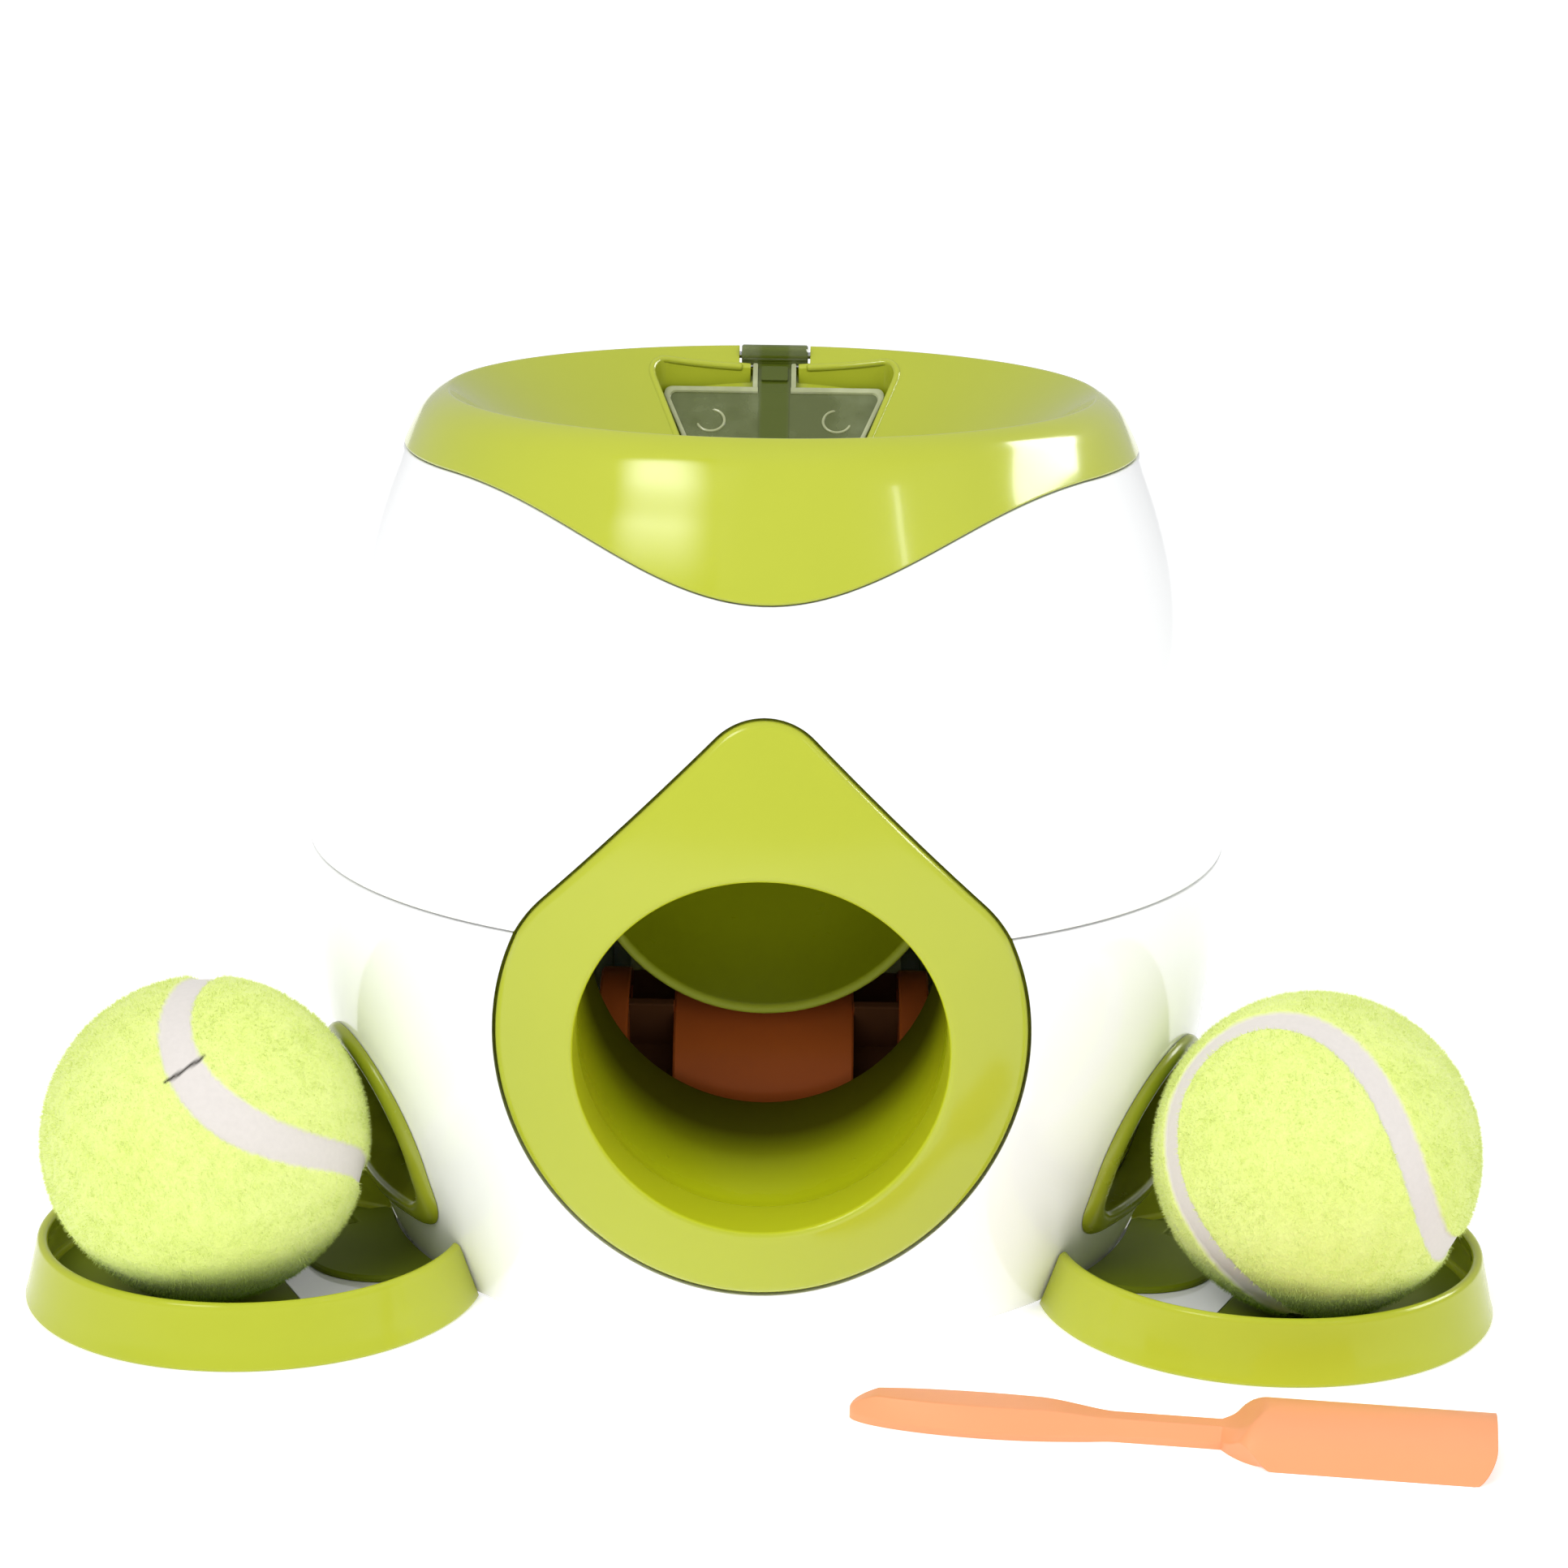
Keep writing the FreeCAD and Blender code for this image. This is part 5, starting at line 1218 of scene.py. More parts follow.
def make_wheel():
    """The treat wheel: plain drum, core, and two pocket rings that paddles divide."""
    centre = (0, WHEEL_Y, WHEEL_Z)
    soft = bpy.context.scene.dispenser_sizes.wheel_edge
    right_half = [(DRUM_R, DRUM_HALF - soft), (DRUM_R - soft, DRUM_HALF), (HUB_R, DRUM_HALF),
                  (HUB_R, WHEEL_HALF - soft), (HUB_R - soft, WHEEL_HALF), (BORE_R, WHEEL_HALF)]
    left_half = [(r, -x) for r, x in reversed(right_half)]
    wheel = spun("wheel_drum", left_half + right_half, centre, "X", WHEEL_STEPS)
    for side in (-1, 1):
        low, high = sorted((side * RING_START, side * WHEEL_HALF))
        ring = [(RING_IN_R, low + soft), (RING_IN_R + soft, low), (WHEEL_R - soft, low),
                (WHEEL_R, low + soft), (WHEEL_R, high - soft), (WHEEL_R - soft, high),
                (RING_IN_R + soft, high), (RING_IN_R, high - soft)]
        combine(wheel, spun("wheel_ring", ring, centre, "X", WHEEL_STEPS), "UNION")
        start, end = sorted((side * PADDLE_START, side * WHEEL_HALF))
        for k in range(PADDLES):
            paddle = block("paddle", (start, PADDLE_ROOT, -PADDLE_HALF),
                           (end, WHEEL_R - PADDLE_TIP_GAP, PADDLE_HALF), 0.3)
            turn = Matrix.Rotation(math.radians(360 / PADDLES * k), 4, "X")
            paddle.data.transform(Matrix.Translation(Vector(centre) * MM) @ turn)
            combine(wheel, paddle, "UNION")
    return finished(wheel, "wheel", "wheel", finish_named("orange"), ["treat_wheel"])


# ------------------------------------------------------------------ side outlets and trays

def make_side_frames():
    """The rolled rings round the two side outlets."""
    half, (near, deep) = ARCH_RIM / 2, OUTLET_DEPTHS
    stations = [(half - half * math.cos(t), OUTLET_LIFT + OUTLET_RISE * math.sin(t))
                for t in np.radians(np.linspace(0, 180, 15))]
    stations += [(ARCH_RIM, -near), (ARCH_RIM, -deep), (ARCH_LAP, -deep), (ARCH_LAP, OUTLET_LIFT),
                 (ARCH_LAP / 2, OUTLET_LIFT)]
    outlines = [arch(shrink) for shrink, _ in stations]
    loops = []
    for i in range(len(outlines[0])):
        loop = []
        for outline, (_, offset) in zip(outlines, stations):
            y, z = outline[i]
            loop.append((math.sqrt(barrel_r(z, offset) ** 2 - y * y), y, z))
        loops.append(loop)
    right = turned(lofted("outlet_ring", loops, ring=True), SIDE_TURN)
    left = mirrored(right, "outlet_ring_left")
    for ring, side in ((right, "right"), (left, "left")):
        # The rings take the inner green, painted darker as shade.
        finished(ring, "outlet_" + side, "housing", finish_named("lime_inner"),
                 ["side_frame_" + side])


def make_trays():
    """The two treat trays, open to the body, with a landing pad over the runner."""
    lip, foot = TRAY_WALL / 2, bpy.context.scene.dispenser_sizes.tray_foot
    lean = TRAY_LEAN / TRAY_H
    top_r = TRAY_R - lean * (TRAY_H - lip) - lip
    section = [(0, 0), (TRAY_R - foot, 0)] + arc((TRAY_R - foot, foot), foot, -60, 0, 3)
    section += evenly([(TRAY_R - lean * foot, foot + 0.1), (top_r + lip, TRAY_H - lip)], 8)[1:]
    section += arc((top_r, TRAY_H - lip), lip, 15, 165, 8)
    floor_r = TRAY_R - TRAY_WALL - lean * TRAY_FLOOR
    fillet = [(floor_r - inwards, z) for inwards, z in TRAY_FILLET]
    section += evenly([(top_r - lip, TRAY_H - lip), fillet[0]], 6)[1:] + fillet[1:]
    section += evenly([fillet[-1], (0, TRAY_FLOOR)], 10)[1:]
    dish = spun("dish", section, (TRAY_X, 0, 0), "Z", 192)
    low, top = PAD_Z
    pad = rod("pad", (PAD_X, 0, low), top - low, PAD_R, "Z", 0.5, 96)
    bridge = block("pad_bridge", (BRIDGE_X, -BRIDGE_HALF, low), (PAD_X, BRIDGE_HALF, top), 0.4)
    added([dish, pad, bridge])
    slot = block("runner_slot", (60, -RUNNER_SLOT_HALF, -1),
                 (RUNNER_SLOT_END, RUNNER_SLOT_HALF, RUNNER_SLOT_Z), 0)
    combine(dish, slot, "DIFFERENCE")
    heights = np.linspace(-1, 20, 12)
    body = [(0, -1)] + [(float(barrel_r(z, 0.5)), float(z)) for z in heights] + [(0, 20)]
    combine(dish, spun("body_room", body, steps=AROUND), "DIFFERENCE")
    turned(dish, SIDE_TURN)
    left = mirrored(dish, "dish_left")
    for piece, side in ((dish, "right"), (left, "left")):
        finished(piece, "dish_" + side, "tray_" + side, finish_named("lime_tray"),
                 ["tray_" + side])


# ------------------------------------------------------------------ balls

def seam_curve(a, count=900):
    """The closed seam line of a ball, on the unit sphere; a wavier one has a smaller a."""
    b = 1 - a
    t = np.linspace(0, 2 * math.pi, count, endpoint=False)
    x, y = a * np.cos(t) + b * np.cos(3 * t), a * np.sin(t) - b * np.sin(3 * t)
    return np.column_stack([x, y, 2 * math.sqrt(a * b) * np.sin(2 * t)])


def seam_half(directions, swell):
    """Half the seam's width over the ball, in millimetres; swell widens it near one place."""
    half = bpy.context.scene.dispenser_sizes.seam_width / 2
    away = np.arccos(np.clip(directions @ np.array(SEAM_WIDEST.normalized()), -1, 1))
    return half * (1 + swell * np.exp(-(away / math.radians(30)) ** 2))


def seam_distance(directions, turn, waviness):
    """How far points on the ball lie from the seam line, in millimetres."""
    curve = seam_curve(waviness) @ np.array(turn.to_matrix()).T
    distance = np.empty(len(directions))
    for k in range(0, len(directions), 4000):
        closest = np.max(directions[k:k + 4000] @ curve.T, axis=1)
        distance[k:k + 4000] = np.arccos(np.clip(closest, -1, 1)) * BALL_R
    return distance


def waves(directions, seed, sizes, count=14):
    """A smooth random field over the ball, about -1 to 1."""
    rng = np.random.default_rng(seed)
    field = np.zeros(len(directions))
    for _ in range(count):
        way = rng.normal(size=3)
        way /= np.linalg.norm(way)
        field += np.sin(directions @ way * rng.uniform(*sizes) + rng.uniform(0, 2 * math.pi))
    return field / math.sqrt(count)


def make_ball(side, seed):
    """One felt ball with its sunk rubber seam and a nap of short fibres."""
    centre, turn, waviness, swell = BALLS[side]
    take()
    bpy.ops.mesh.primitive_ico_sphere_add(subdivisions=7, radius=BALL_R * MM, location=centre * MM)
    ball = bpy.context.object
    bpy.ops.object.transform_apply(location=True, rotation=True, scale=True)
    points = np.empty(len(ball.data.vertices) * 3)
    ball.data.vertices.foreach_get("co", points)
    ways = points.reshape(-1, 3) / MM - np.array(centre)
    ways /= np.linalg.norm(ways, axis=1)[:, None]
    gap = seam_distance(ways, turn, waviness) + waves(ways, seed, (60, 140)) * 0.12
    seam = np.clip((seam_half(ways, swell) + SEAM_BANK - gap) / 0.5, 0, 1)
    lump = waves(ways, seed + 1, (8, 40)) * 0.10 + waves(ways, seed + 2, (120, 260)) * 0.06
    radius = BALL_R - FELT_SINK + lump * (1 - seam) - seam * SEAM_DEPTH
    place = np.array(centre) + ways * radius[:, None]
    ball.data.vertices.foreach_set("co", (place * MM).ravel())
    ball.data.attributes.new("seam", "FLOAT", "POINT").data.foreach_set("value", seam.astype(np.float32))
    split = np.zeros(len(ways), np.float32)
    if side == "left":
        split = split_mark(ways)
    ball.data.attributes.new("split", "FLOAT", "POINT").data.foreach_set("value", split)
    ball.data.update()
    name = "ball_felt_" + side
    finished(ball, "felt_" + side, "ball_" + side, finish_named("felt"), [name], 180.0, False)
    nap = make_nap(side, seed + 7)
    finished(nap, "nap_" + side, "ball_" + side, finish_named("nap"), (), 20.0, False)


def make_balls():
    make_ball("left", 11)
    make_ball("right", 31)


def split_mark(ways):
    """The short open joint across the left ball's seam."""
    start, end = np.array(SPLIT_ENDS[0]), np.array(SPLIT_ENDS[1])
    line = end - start
    t = np.clip((ways - start) @ line / (line @ line), 0, 1)
    nearest = start + t[:, None] * line
    nearest /= np.linalg.norm(nearest, axis=1)[:, None]
    away = np.linalg.norm(ways - nearest, axis=1) * BALL_R
    return np.clip((0.5 - away) / 0.3, 0, 1).astype(np.float32)


def make_nap(side_name, seed):
    """Short slim fibres all over the felt, each a small closed spike."""
    centre, turn, waviness, swell = BALLS[side_name]
    sizes = bpy.context.scene.dispenser_sizes
    count = sizes.fibres
    rng = np.random.default_rng(seed)
    ways = rng.normal(size=(count * 2, 3))
    ways /= np.linalg.norm(ways, axis=1)[:, None]
    gap = seam_distance(ways, turn, waviness)
    ways = ways[gap > seam_half(ways, swell) + 0.25][:count]
    lean = rng.normal(size=ways.shape)
    lean -= ways * np.sum(lean * ways, axis=1)[:, None]
    lean /= np.linalg.norm(lean, axis=1)[:, None]
    side = np.cross(ways, lean)
    comb = np.clip(waves(ways, seed + 3, (6, 18)), -1, 1)[:, None]
    length = rng.uniform(0.45, 1.0, (len(ways), 1)) * sizes.fibre_length
    width = rng.uniform(0.7, 1.2, (len(ways), 1)) * sizes.fibre_width
    root = ways * (BALL_R - NAP_ROOT)
    bent = rng.uniform(0.1, 0.75, (len(ways), 1))
    tip = root + ways * length * 0.85 + lean * length * bent + side * comb * 0.25
    reach = np.linalg.norm(tip, axis=1)[:, None]
    tip *= np.minimum(1, (BALL_R + NAP_OVER) / reach)
    rear = root - lean * width / 2
    corners = [root + lean * width, rear + side * width * 0.87, rear - side * width * 0.87]
    points = np.stack(corners + [tip], axis=1) + np.array(centre)
    points = points.reshape(-1, 3)
    points[:, 2] = np.maximum(points[:, 2], NAP_FLOOR_Z)
    base = np.arange(len(ways))[:, None] * 4
    faces = np.concatenate([base + np.array(f) for f in ((0, 1, 3), (1, 2, 3), (2, 0, 3), (0, 2, 1))], axis=0)
    mesh = bpy.data.meshes.new("nap")
    mesh.from_pydata((points * MM).tolist(), [], faces.tolist())
    tone = np.repeat(rng.uniform(0, 1, len(ways)), 4).reshape(-1, 4)
    tone[:, :3] *= 0.5
    mesh.attributes.new("tone", "FLOAT", "POINT").data.foreach_set("value", tone.ravel().astype(np.float32))
    nap = bpy.data.objects.new("nap", mesh)
    bpy.context.scene.collection.objects.link(nap)
    return nap


# ------------------------------------------------------------------ scoop

# Drawn along x from the grip's end, before it is turned and laid in its place
SCOOP_LENGTH = 115.0
SCOOP_PLACE = (17, -106, 0)
SCOOP_TURN = -8.0
GRIP_HALF = 6.2
GRIP_MID = 24.0
GRIP_TOP_Z = 5.2
STEM_HALF = 3.2
STEM_TOP_Z = 4.0
BLADE_X = 67.0
BLADE_HALF = 10.9
BLADE_TOP_Z = 8.5
BLADE_WALL = 1.5
BLADE_CORNER = 3.5


def scoop_half(x):
    """Half the scoop's width at a place along it."""
    if x >= BLADE_X:
        spread = math.sin(min((x - BLADE_X) / 9.0, 1.0) * math.pi / 2) ** 0.85
        side = STEM_HALF + (BLADE_HALF - STEM_HALF) * spread
        past = x - SCOOP_LENGTH + BLADE_CORNER
        if past > 0:
            side = BLADE_HALF - BLADE_CORNER + math.sqrt(max(0.0, BLADE_CORNER ** 2 - past ** 2))
        return side
    grip = 0.0
    if x < 2 * GRIP_MID:
        grip = GRIP_HALF * math.sqrt(max(0.0, 1 - ((x - GRIP_MID) / GRIP_MID) ** 2))
    stem = STEM_HALF * smooth_share((x - 30.0) / 14.0)
    return max((grip ** 4 + stem ** 4) ** 0.25, 0.02)


def scoop_section(x, count=29):
    """The closed section of the scoop at a place along it."""
    half = scoop_half(x)
    share = smooth_share((x - 64.0) / 11.0)
    arc_r = (BLADE_HALF ** 2 + BLADE_TOP_Z ** 2) / (2 * BLADE_TOP_Z)
    hollow = smooth_share((x - 73.0) / 4.0)
    top = GRIP_TOP_Z - 1.2 * smooth_share((x - 34.0) / 14.0)
    top *= min(1.0, 0.35 + 0.65 * math.sqrt(min(1.0, max(0.0, x) / 5.0)))
    over, under = [], []
    for k in range(count):
        p = math.sin(math.pi * (k / (count - 1) - 0.5))
        away = abs(p)
        flat = 0.52
        slope = 0.0 if away < flat else ((away - flat) / (1 - flat)) ** 1.15
        grip_z = top - (top - 1.4) * slope
        if away > 0.995:
            grip_z = 0.9
        blade_top = BLADE_TOP_Z - arc_r + math.sqrt(max(0.0, arc_r ** 2 - (p * half) ** 2))
        rear = STEM_TOP_Z + (BLADE_TOP_Z - STEM_TOP_Z) * smooth_share((x - 66.0) / 10.5)
        blade_z = min(blade_top, rear) if x < 78 else blade_top
        over.append((x, p * half, grip_z * (1 - share) + max(blade_z, 0.0) * share))
    for k in range(count):
        p = -math.sin(math.pi * (k / (count - 1) - 0.5))
        inner_half = half - BLADE_WALL * share
        drop = math.sqrt(max(0.0, (arc_r - BLADE_WALL) ** 2 - (p * inner_half) ** 2))
        inner_z = BLADE_TOP_Z - arc_r + drop
        under.append((x, p * (half * (1 - share) * 0.9 + inner_half * share), max(0.0, inner_z) * hollow))
    return over + under


def make_scoop():
    """The scoop, lying on the floor with its hollow side down."""
    xs = [0.02, 0.15, 0.5, 1.0, 1.7, 2.6, 3.8]
    xs += [*np.linspace(5, 62, 58), *np.linspace(63, 80, 40), *np.linspace(82, 111, 16)]
    turns = (8, 20, 32, 44, 56, 68, 79, 88)
    xs += [SCOOP_LENGTH - BLADE_CORNER * (1 - math.sin(math.radians(t))) for t in turns]
    xs += [SCOOP_LENGTH]
    scoop = lofted("scoop", [scoop_section(x) for x in xs])
    turn = Matrix.Rotation(math.radians(SCOOP_TURN), 4, "Z")
    scoop.data.transform(Matrix.Translation(Vector(SCOOP_PLACE) * MM) @ turn)
    return finished(scoop, "treat_scoop", "scoop", finish_named("scoop"), ["scoop"], 38.0)


# ------------------------------------------------------------------ inner parts and stage

INNER_FINISHES = {
    "base_plate": "white", "hopper_bin": "natural", "wheel_bracket": "natural", "shaft_bushes": "natural",
    "wheel_shaft": "steel", "screws": "steel", "rubber_feet": "foot", "ball_core": "core",
}


def dress_nodes():
    """Give every CAD node a finish: its own from the list, or the inner green, which is painted darker as
    shade.
    """
    for name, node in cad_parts.items():
        found = [finish for key, finish in INNER_FINISHES.items() if key in name]
        material = finish_named(found[0] if found else "lime_inner")
        if not node.material_slots:
            node.data.materials.append(None)
        for place in node.material_slots:
            place.link = "OBJECT"
            place.material = material


def softbox(name, place, aim, size, power):
    """A rectangular lamp that gives soft light and doesn't show as a reflection."""
    data = bpy.data.lights.new(name, "AREA")
    data.shape, data.size, data.size_y = "RECTANGLE", size[0] * MM, size[1] * MM
    data.energy = power
    lamp = bpy.data.objects.new(name, data)
    bpy.context.scene.collection.objects.link(lamp)
    turn = (Vector(aim) - Vector(place)).to_track_quat("-Z", "Y").to_matrix().to_4x4()
    lamp.matrix_world = Matrix.Translation(Vector(place) * MM) @ turn
    lamp.visible_camera = lamp.visible_glossy = lamp.visible_transmission = False
    return lamp


def reflector(name, corners, strength, fade):
    """A bright panel that only shows in gloss; it fades out near its edges by that share of its size."""
    take()
    bpy.ops.mesh.primitive_plane_add(size=2)
    panel = bpy.context.object
    panel.name = panel.data.name = name
    order = (0, 1, 3, 2)
    for vertex, k in zip(panel.data.vertices, order):
        vertex.co = Vector(corners[k]) * MM
    material = bpy.data.materials.new(name)
    material.use_nodes = True
    tree = material.node_tree
    tree.nodes.clear()
    place = wire(tree, "ShaderNodeTexCoord").outputs["UV"]
    parts = wire(tree, "ShaderNodeSeparateXYZ", links={"Vector": place}).outputs
    bright = strength
    for axis in ("X", "Y"):
        for start, end in ((0.0, fade), (1.0, 1.0 - fade)):
            ramp = wire(tree, "ShaderNodeMapRange", {"From Min": start, "From Max": end},
                        {"Value": parts[axis]}, interpolation_type="SMOOTHSTEP").outputs["Result"]
            bright = sums(tree, "MULTIPLY", ramp, bright)
    glow = wire(tree, "ShaderNodeEmission", links={"Strength": bright})
    wire(tree, "ShaderNodeOutputMaterial", links={"Surface": glow.outputs["Emission"]})
    panel.data.materials.append(material)
    panel.visible_camera = panel.visible_diffuse = panel.visible_transmission = panel.visible_shadow = False
    return panel


# Lamps: name, place, what it points at, width and height, power
LAMPS = (
    ("key", (-700, -1100, 1300), (0, 0, 80), (900, 700), 15.0),
    ("fill", (900, -700, 900), (0, 0, 80), (800, 600), 4.0),
    ("top", (0, -250, 1400), (0, 30, 150), (700, 500), 1.8),
)

# Reflected panels: name, corners (lower left, lower right, upper right, upper left), strength, fade
REFLECTED = (
    ("left_panel", ((-715, -640, 590), (-235, -910, 640), (-225, -400, 1090), (-630, -290, 960)), 8.5, 0.38),
    ("right_panel", ((866, -197, 500), (837, 320, 429), (637, 514, 581), (546, 287, 835)), 12.0, 0.03),
    ("side_strip", ((534, -656, 604), (560, -641, 604), (524, -557, 738), (500, -572, 738)), 9.0, 0.1),
)

# Camera, in metres and radians
LENS = 85.38
CAMERA_PLACE = (0.0048, -0.7305, 0.276)
PITCH, ROLL, YAW = 0.248, -0.014, -0.002


def set_camera():
    """The camera: 85 mm long lens, a little above the object and looking down at it."""
    data = bpy.data.cameras.new("view")
    data.sensor_width, data.lens = 36.0, LENS
    data.clip_start, data.clip_end = 0.05, 50.0
    camera = bpy.data.objects.new("view", data)
    bpy.context.scene.collection.objects.link(camera)
    pitch, roll, yaw = PITCH, ROLL, YAW
    ahead = Vector((math.sin(yaw) * math.cos(pitch), math.cos(yaw) * math.cos(pitch), -math.sin(pitch)))
    right = Vector((math.cos(yaw), -math.sin(yaw), 0))
    up = right.cross(ahead)
    right, up = right * math.cos(roll) - up * math.sin(roll), right * math.sin(roll) + up * math.cos(roll)
    turn = Matrix((right, up, -ahead)).transposed().to_4x4()
    camera.matrix_world = Matrix.Translation(CAMERA_PLACE) @ turn
    bpy.context.scene.camera = camera


def set_stage():
    """The pale floor, the sky's even light, the lamps, the reflected panels and the camera."""
    colours = bpy.context.scene.dispenser_colours
    take()
    bpy.ops.mesh.primitive_plane_add(size=16.0)
    floor = bpy.context.object
    floor.name = "studio_floor"
    material, tree, shader = new_material("studio_floor")
    place = wire(tree, "ShaderNodeTexCoord").outputs["Object"]
    tone = ranged(tree, noise(tree, place, 0.6, 2.0), 0.3, 0.7)
    pale = blended(tree, tone, colours.floor, [c * 0.99 for c in colours.floor[:3]])
    tree.links.new(pale, shader.inputs["Base Color"])
    shader.inputs["Roughness"].default_value = 0.9
    shader.inputs["Emission Color"].default_value = (1, 1, 1, 1)
    away = wire(tree, "ShaderNodeVectorMath", links={"Vector": place}, operation="LENGTH").outputs["Value"]
    tree.links.new(ranged(tree, away, 0.7, 2.5, 0.36, 0.75), shader.inputs["Emission Strength"])
    floor.data.materials.append(material)
    world = bpy.data.worlds.new("studio")
    world.use_nodes = True
    world.node_tree.nodes["Background"].inputs["Color"].default_value = (0.97, 0.985, 1.0, 1)
    world.node_tree.nodes["Background"].inputs["Strength"].default_value = 0.58
    bpy.context.scene.world = world
    for lamp in LAMPS:
        softbox(*lamp)
    for bright in REFLECTED:
        reflector(*bright)
    set_camera()
    bpy.context.scene.view_settings.view_transform = "Standard"


# ------------------------------------------------------------------ add-on

class DispenserSizes(bpy.types.PropertyGroup):
    """Sizes of the finished details, in millimetres."""

    shell_edge: FloatProperty(name="Shell edge", description="Softness of the shells' edges", default=0.3)
    parting_gap: FloatProperty(name="Parting gap", description="Gap between the two shells", default=0.4)
    hem_edge: FloatProperty(name="Hem edge", description="Roundness of the skirt's hem", default=0.5)
    throat_edge: FloatProperty(name="Throat edge", description="Roundness of the throat's lip", default=1.6)
    recess_bead: FloatProperty(name="Recess bead", description="Radius of the lid's surround", default=0.85)
    lid_border: FloatProperty(name="Lid border", description="Width of the lid's raised border", default=1.0)
    finger_rib: FloatProperty(name="Finger rib", description="Radius of the lid's finger ribs", default=0.3)
    hole_edge: FloatProperty(name="Opening edge", description="Roundness of the front opening", default=1.4)
    frame_edge: FloatProperty(name="Frame edge", description="Roundness of the frame's rim", default=1.2)
    wheel_edge: FloatProperty(name="Wheel edge", description="Softness of the wheel's edges", default=0.4)
    tray_foot: FloatProperty(name="Tray foot", description="Roundness of the trays' lower edge", default=0.7)
    seam_width: FloatProperty(name="Seam width", description="Width of the balls' rubber seam", default=5.6)
    fibre_length: FloatProperty(name="Fibre length", description="Longest fibres of the felt", default=1.3)
    fibre_width: FloatProperty(name="Fibre width", description="Thickness of the felt's fibres", default=0.07)
    fibres: IntProperty(name="Fibres", description="Number of fibres on each ball", default=46000)


def colour_property(name, description, value):
    return FloatVectorProperty(name=name, description=description, default=(*value, 1.0), size=4,
                               subtype="COLOR", min=0.0, max=1.0)


class DispenserColours(bpy.types.PropertyGroup):
    """Base colours of the finishes, with painted shade for the lime's hollows and the balls' undersides, and
    a painted highlight on the lid's edge.
    """

    white: colour_property("White", "Shells and base", (0.95, 0.95, 0.945))
    lime: colour_property("Lime", "Funnel, frames and trays", (0.435, 0.475, 0.032))
    lime_cast: colour_property("Lime cast", "Clouding in the lime plastic", (0.4, 0.445, 0.028))
    # Painted shade, laid by ambient occlusion in the lime's hollows.
    lime_painted_shade: colour_property("Lime hollows", "Lime plastic deep in its hollows", (0.2, 0.24, 0.004))
    wheel: colour_property("Wheel", "Treat wheel", (0.6, 0.13, 0.03))
    scoop: colour_property("Scoop", "Treat scoop", (0.86, 0.34, 0.15))
    smoke: colour_property("Smoke", "Hopper lid", (0.21, 0.25, 0.08))
    # Painted highlight: paler where the lid's raised border catches light.
    smoke_edge_painted_highlight: colour_property("Smoke edge", "Raised edge of the hopper lid", (0.5, 0.53, 0.3))
    felt: colour_property("Felt", "Ball felt", (0.74, 0.83, 0.25))
    felt_shade: colour_property("Felt shade", "Ball felt between its tufts", (0.68, 0.79, 0.2))
    felt_tip: colour_property("Felt tips", "Tips of the felt's fibres", (0.8, 0.88, 0.36))
    # Painted shade on the balls' undersides.
    felt_painted_shade: colour_property("Felt underside", "Ball felt low in the tray", (0.2, 0.33, 0.01))
    seam: colour_property("Seam", "Rubber seam of the balls", (0.68, 0.635, 0.6))
    floor: colour_property("Floor", "Studio floor", (0.95, 0.95, 0.95))


class PieceOperator:
    """What the operators share: each one builds its pieces and then reports that it is done."""

    bl_options = {"REGISTER", "UNDO"}
    steps = ()

    def execute(self, context):
        for step in self.steps:
            step()
        return {"FINISHED"}


class BuildShells(PieceOperator, bpy.types.Operator):
    """Build the white lower and upper shells"""
    bl_idname = "dispenser.build_shells"
    bl_label = "Build shells"
    steps = (make_lower_shell, make_upper_shell)


class BuildFunnel(PieceOperator, bpy.types.Operator):
    """Build the green funnel with its skirt and the recess for the lid"""
    bl_idname = "dispenser.build_funnel"
    bl_label = "Build funnel"
    steps = (make_funnel,)


class BuildLid(PieceOperator, bpy.types.Operator):
    """Build the smoke-clear hopper lid and its pin"""
    bl_idname = "dispenser.build_lid"
    bl_label = "Build lid"
    steps = (make_lid, make_hinge_pin)


class BuildBallPath(PieceOperator, bpy.types.Operator):
    """Build the front frame, the chute behind it and the slide above it"""
    bl_idname = "dispenser.build_ball_path"
    bl_label = "Build frame, chute and slide"
    steps = (make_front_frame, make_chute, make_slide)


class BuildWheel(PieceOperator, bpy.types.Operator):
    """Build the orange treat wheel"""
    bl_idname = "dispenser.build_wheel"
    bl_label = "Build wheel"
    steps = (make_wheel,)


class BuildSideOutlets(PieceOperator, bpy.types.Operator):
    """Build the rings round the two side outlets"""
    bl_idname = "dispenser.build_side_outlets"
    bl_label = "Build side outlets"
    steps = (make_side_frames,)


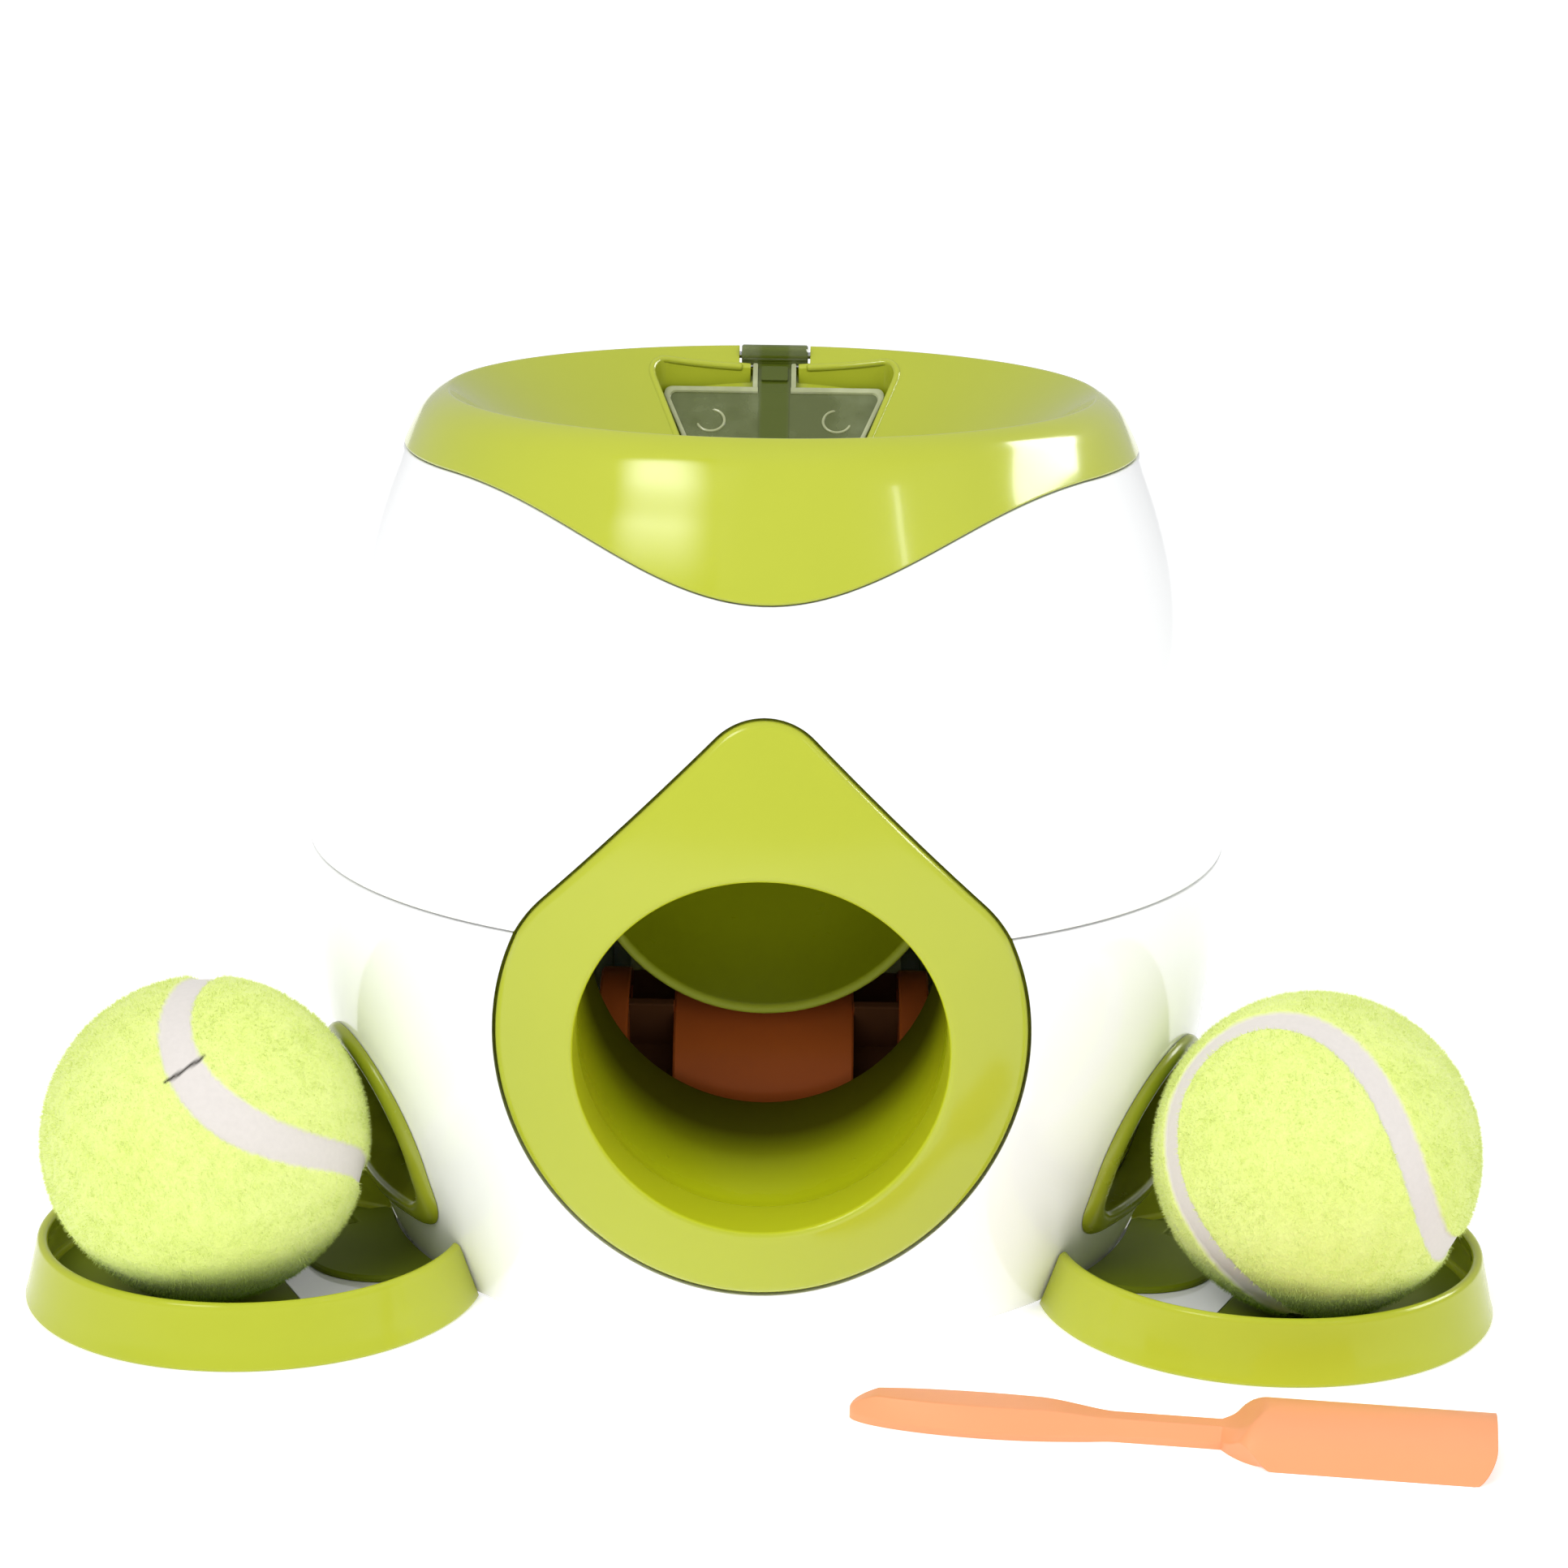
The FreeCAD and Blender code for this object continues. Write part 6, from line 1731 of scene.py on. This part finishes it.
class BuildTrays(PieceOperator, bpy.types.Operator):
    """Build the two treat trays"""
    bl_idname = "dispenser.build_trays"
    bl_label = "Build trays"
    steps = (make_trays,)


class BuildBalls(PieceOperator, bpy.types.Operator):
    """Build the two felt balls with their seams and nap"""
    bl_idname = "dispenser.build_balls"
    bl_label = "Build balls"
    steps = (make_balls,)


class BuildScoop(PieceOperator, bpy.types.Operator):
    """Build the orange treat scoop"""
    bl_idname = "dispenser.build_scoop"
    bl_label = "Build scoop"
    steps = (make_scoop,)


class DressInnerParts(PieceOperator, bpy.types.Operator):
    """Give the inner parts their finishes"""
    bl_idname = "dispenser.dress_inner_parts"
    bl_label = "Dress inner parts"
    steps = (dress_nodes,)


class SetStage(PieceOperator, bpy.types.Operator):
    """Set up the floor, the lights and the camera"""
    bl_idname = "dispenser.set_stage"
    bl_label = "Set stage"
    steps = (set_stage,)


OPERATORS = (BuildShells, BuildFunnel, BuildLid, BuildBallPath, BuildWheel, BuildSideOutlets, BuildTrays,
             BuildBalls, BuildScoop, DressInnerParts, SetStage)


class DispenserPanel(bpy.types.Panel):
    """Lists the sizes, the colours and the operators"""
    bl_idname = "VIEW3D_PT_dispenser"
    bl_label = "Ball dispenser"
    bl_space_type = "VIEW_3D"
    bl_region_type = "UI"
    bl_category = "Dispenser"

    def draw(self, context):
        for group in (context.scene.dispenser_sizes, context.scene.dispenser_colours):
            column = self.layout.column(align=True)
            for key in group.__annotations__:
                column.prop(group, key)
        for operator in OPERATORS:
            self.layout.operator(operator.bl_idname)


CLASSES = (DispenserSizes, DispenserColours) + OPERATORS + (DispenserPanel,)


def register():
    for each in CLASSES:
        bpy.utils.register_class(each)
    bpy.types.Scene.dispenser_sizes = PointerProperty(type=DispenserSizes)
    bpy.types.Scene.dispenser_colours = PointerProperty(type=DispenserColours)


def unregister():
    del bpy.types.Scene.dispenser_colours
    del bpy.types.Scene.dispenser_sizes
    for each in reversed(CLASSES):
        bpy.utils.unregister_class(each)


def main():
    register()
    for operator in OPERATORS:
        getattr(bpy.ops.dispenser, operator.bl_idname.split(".")[1])()


if __name__ == "__main__":
    main()
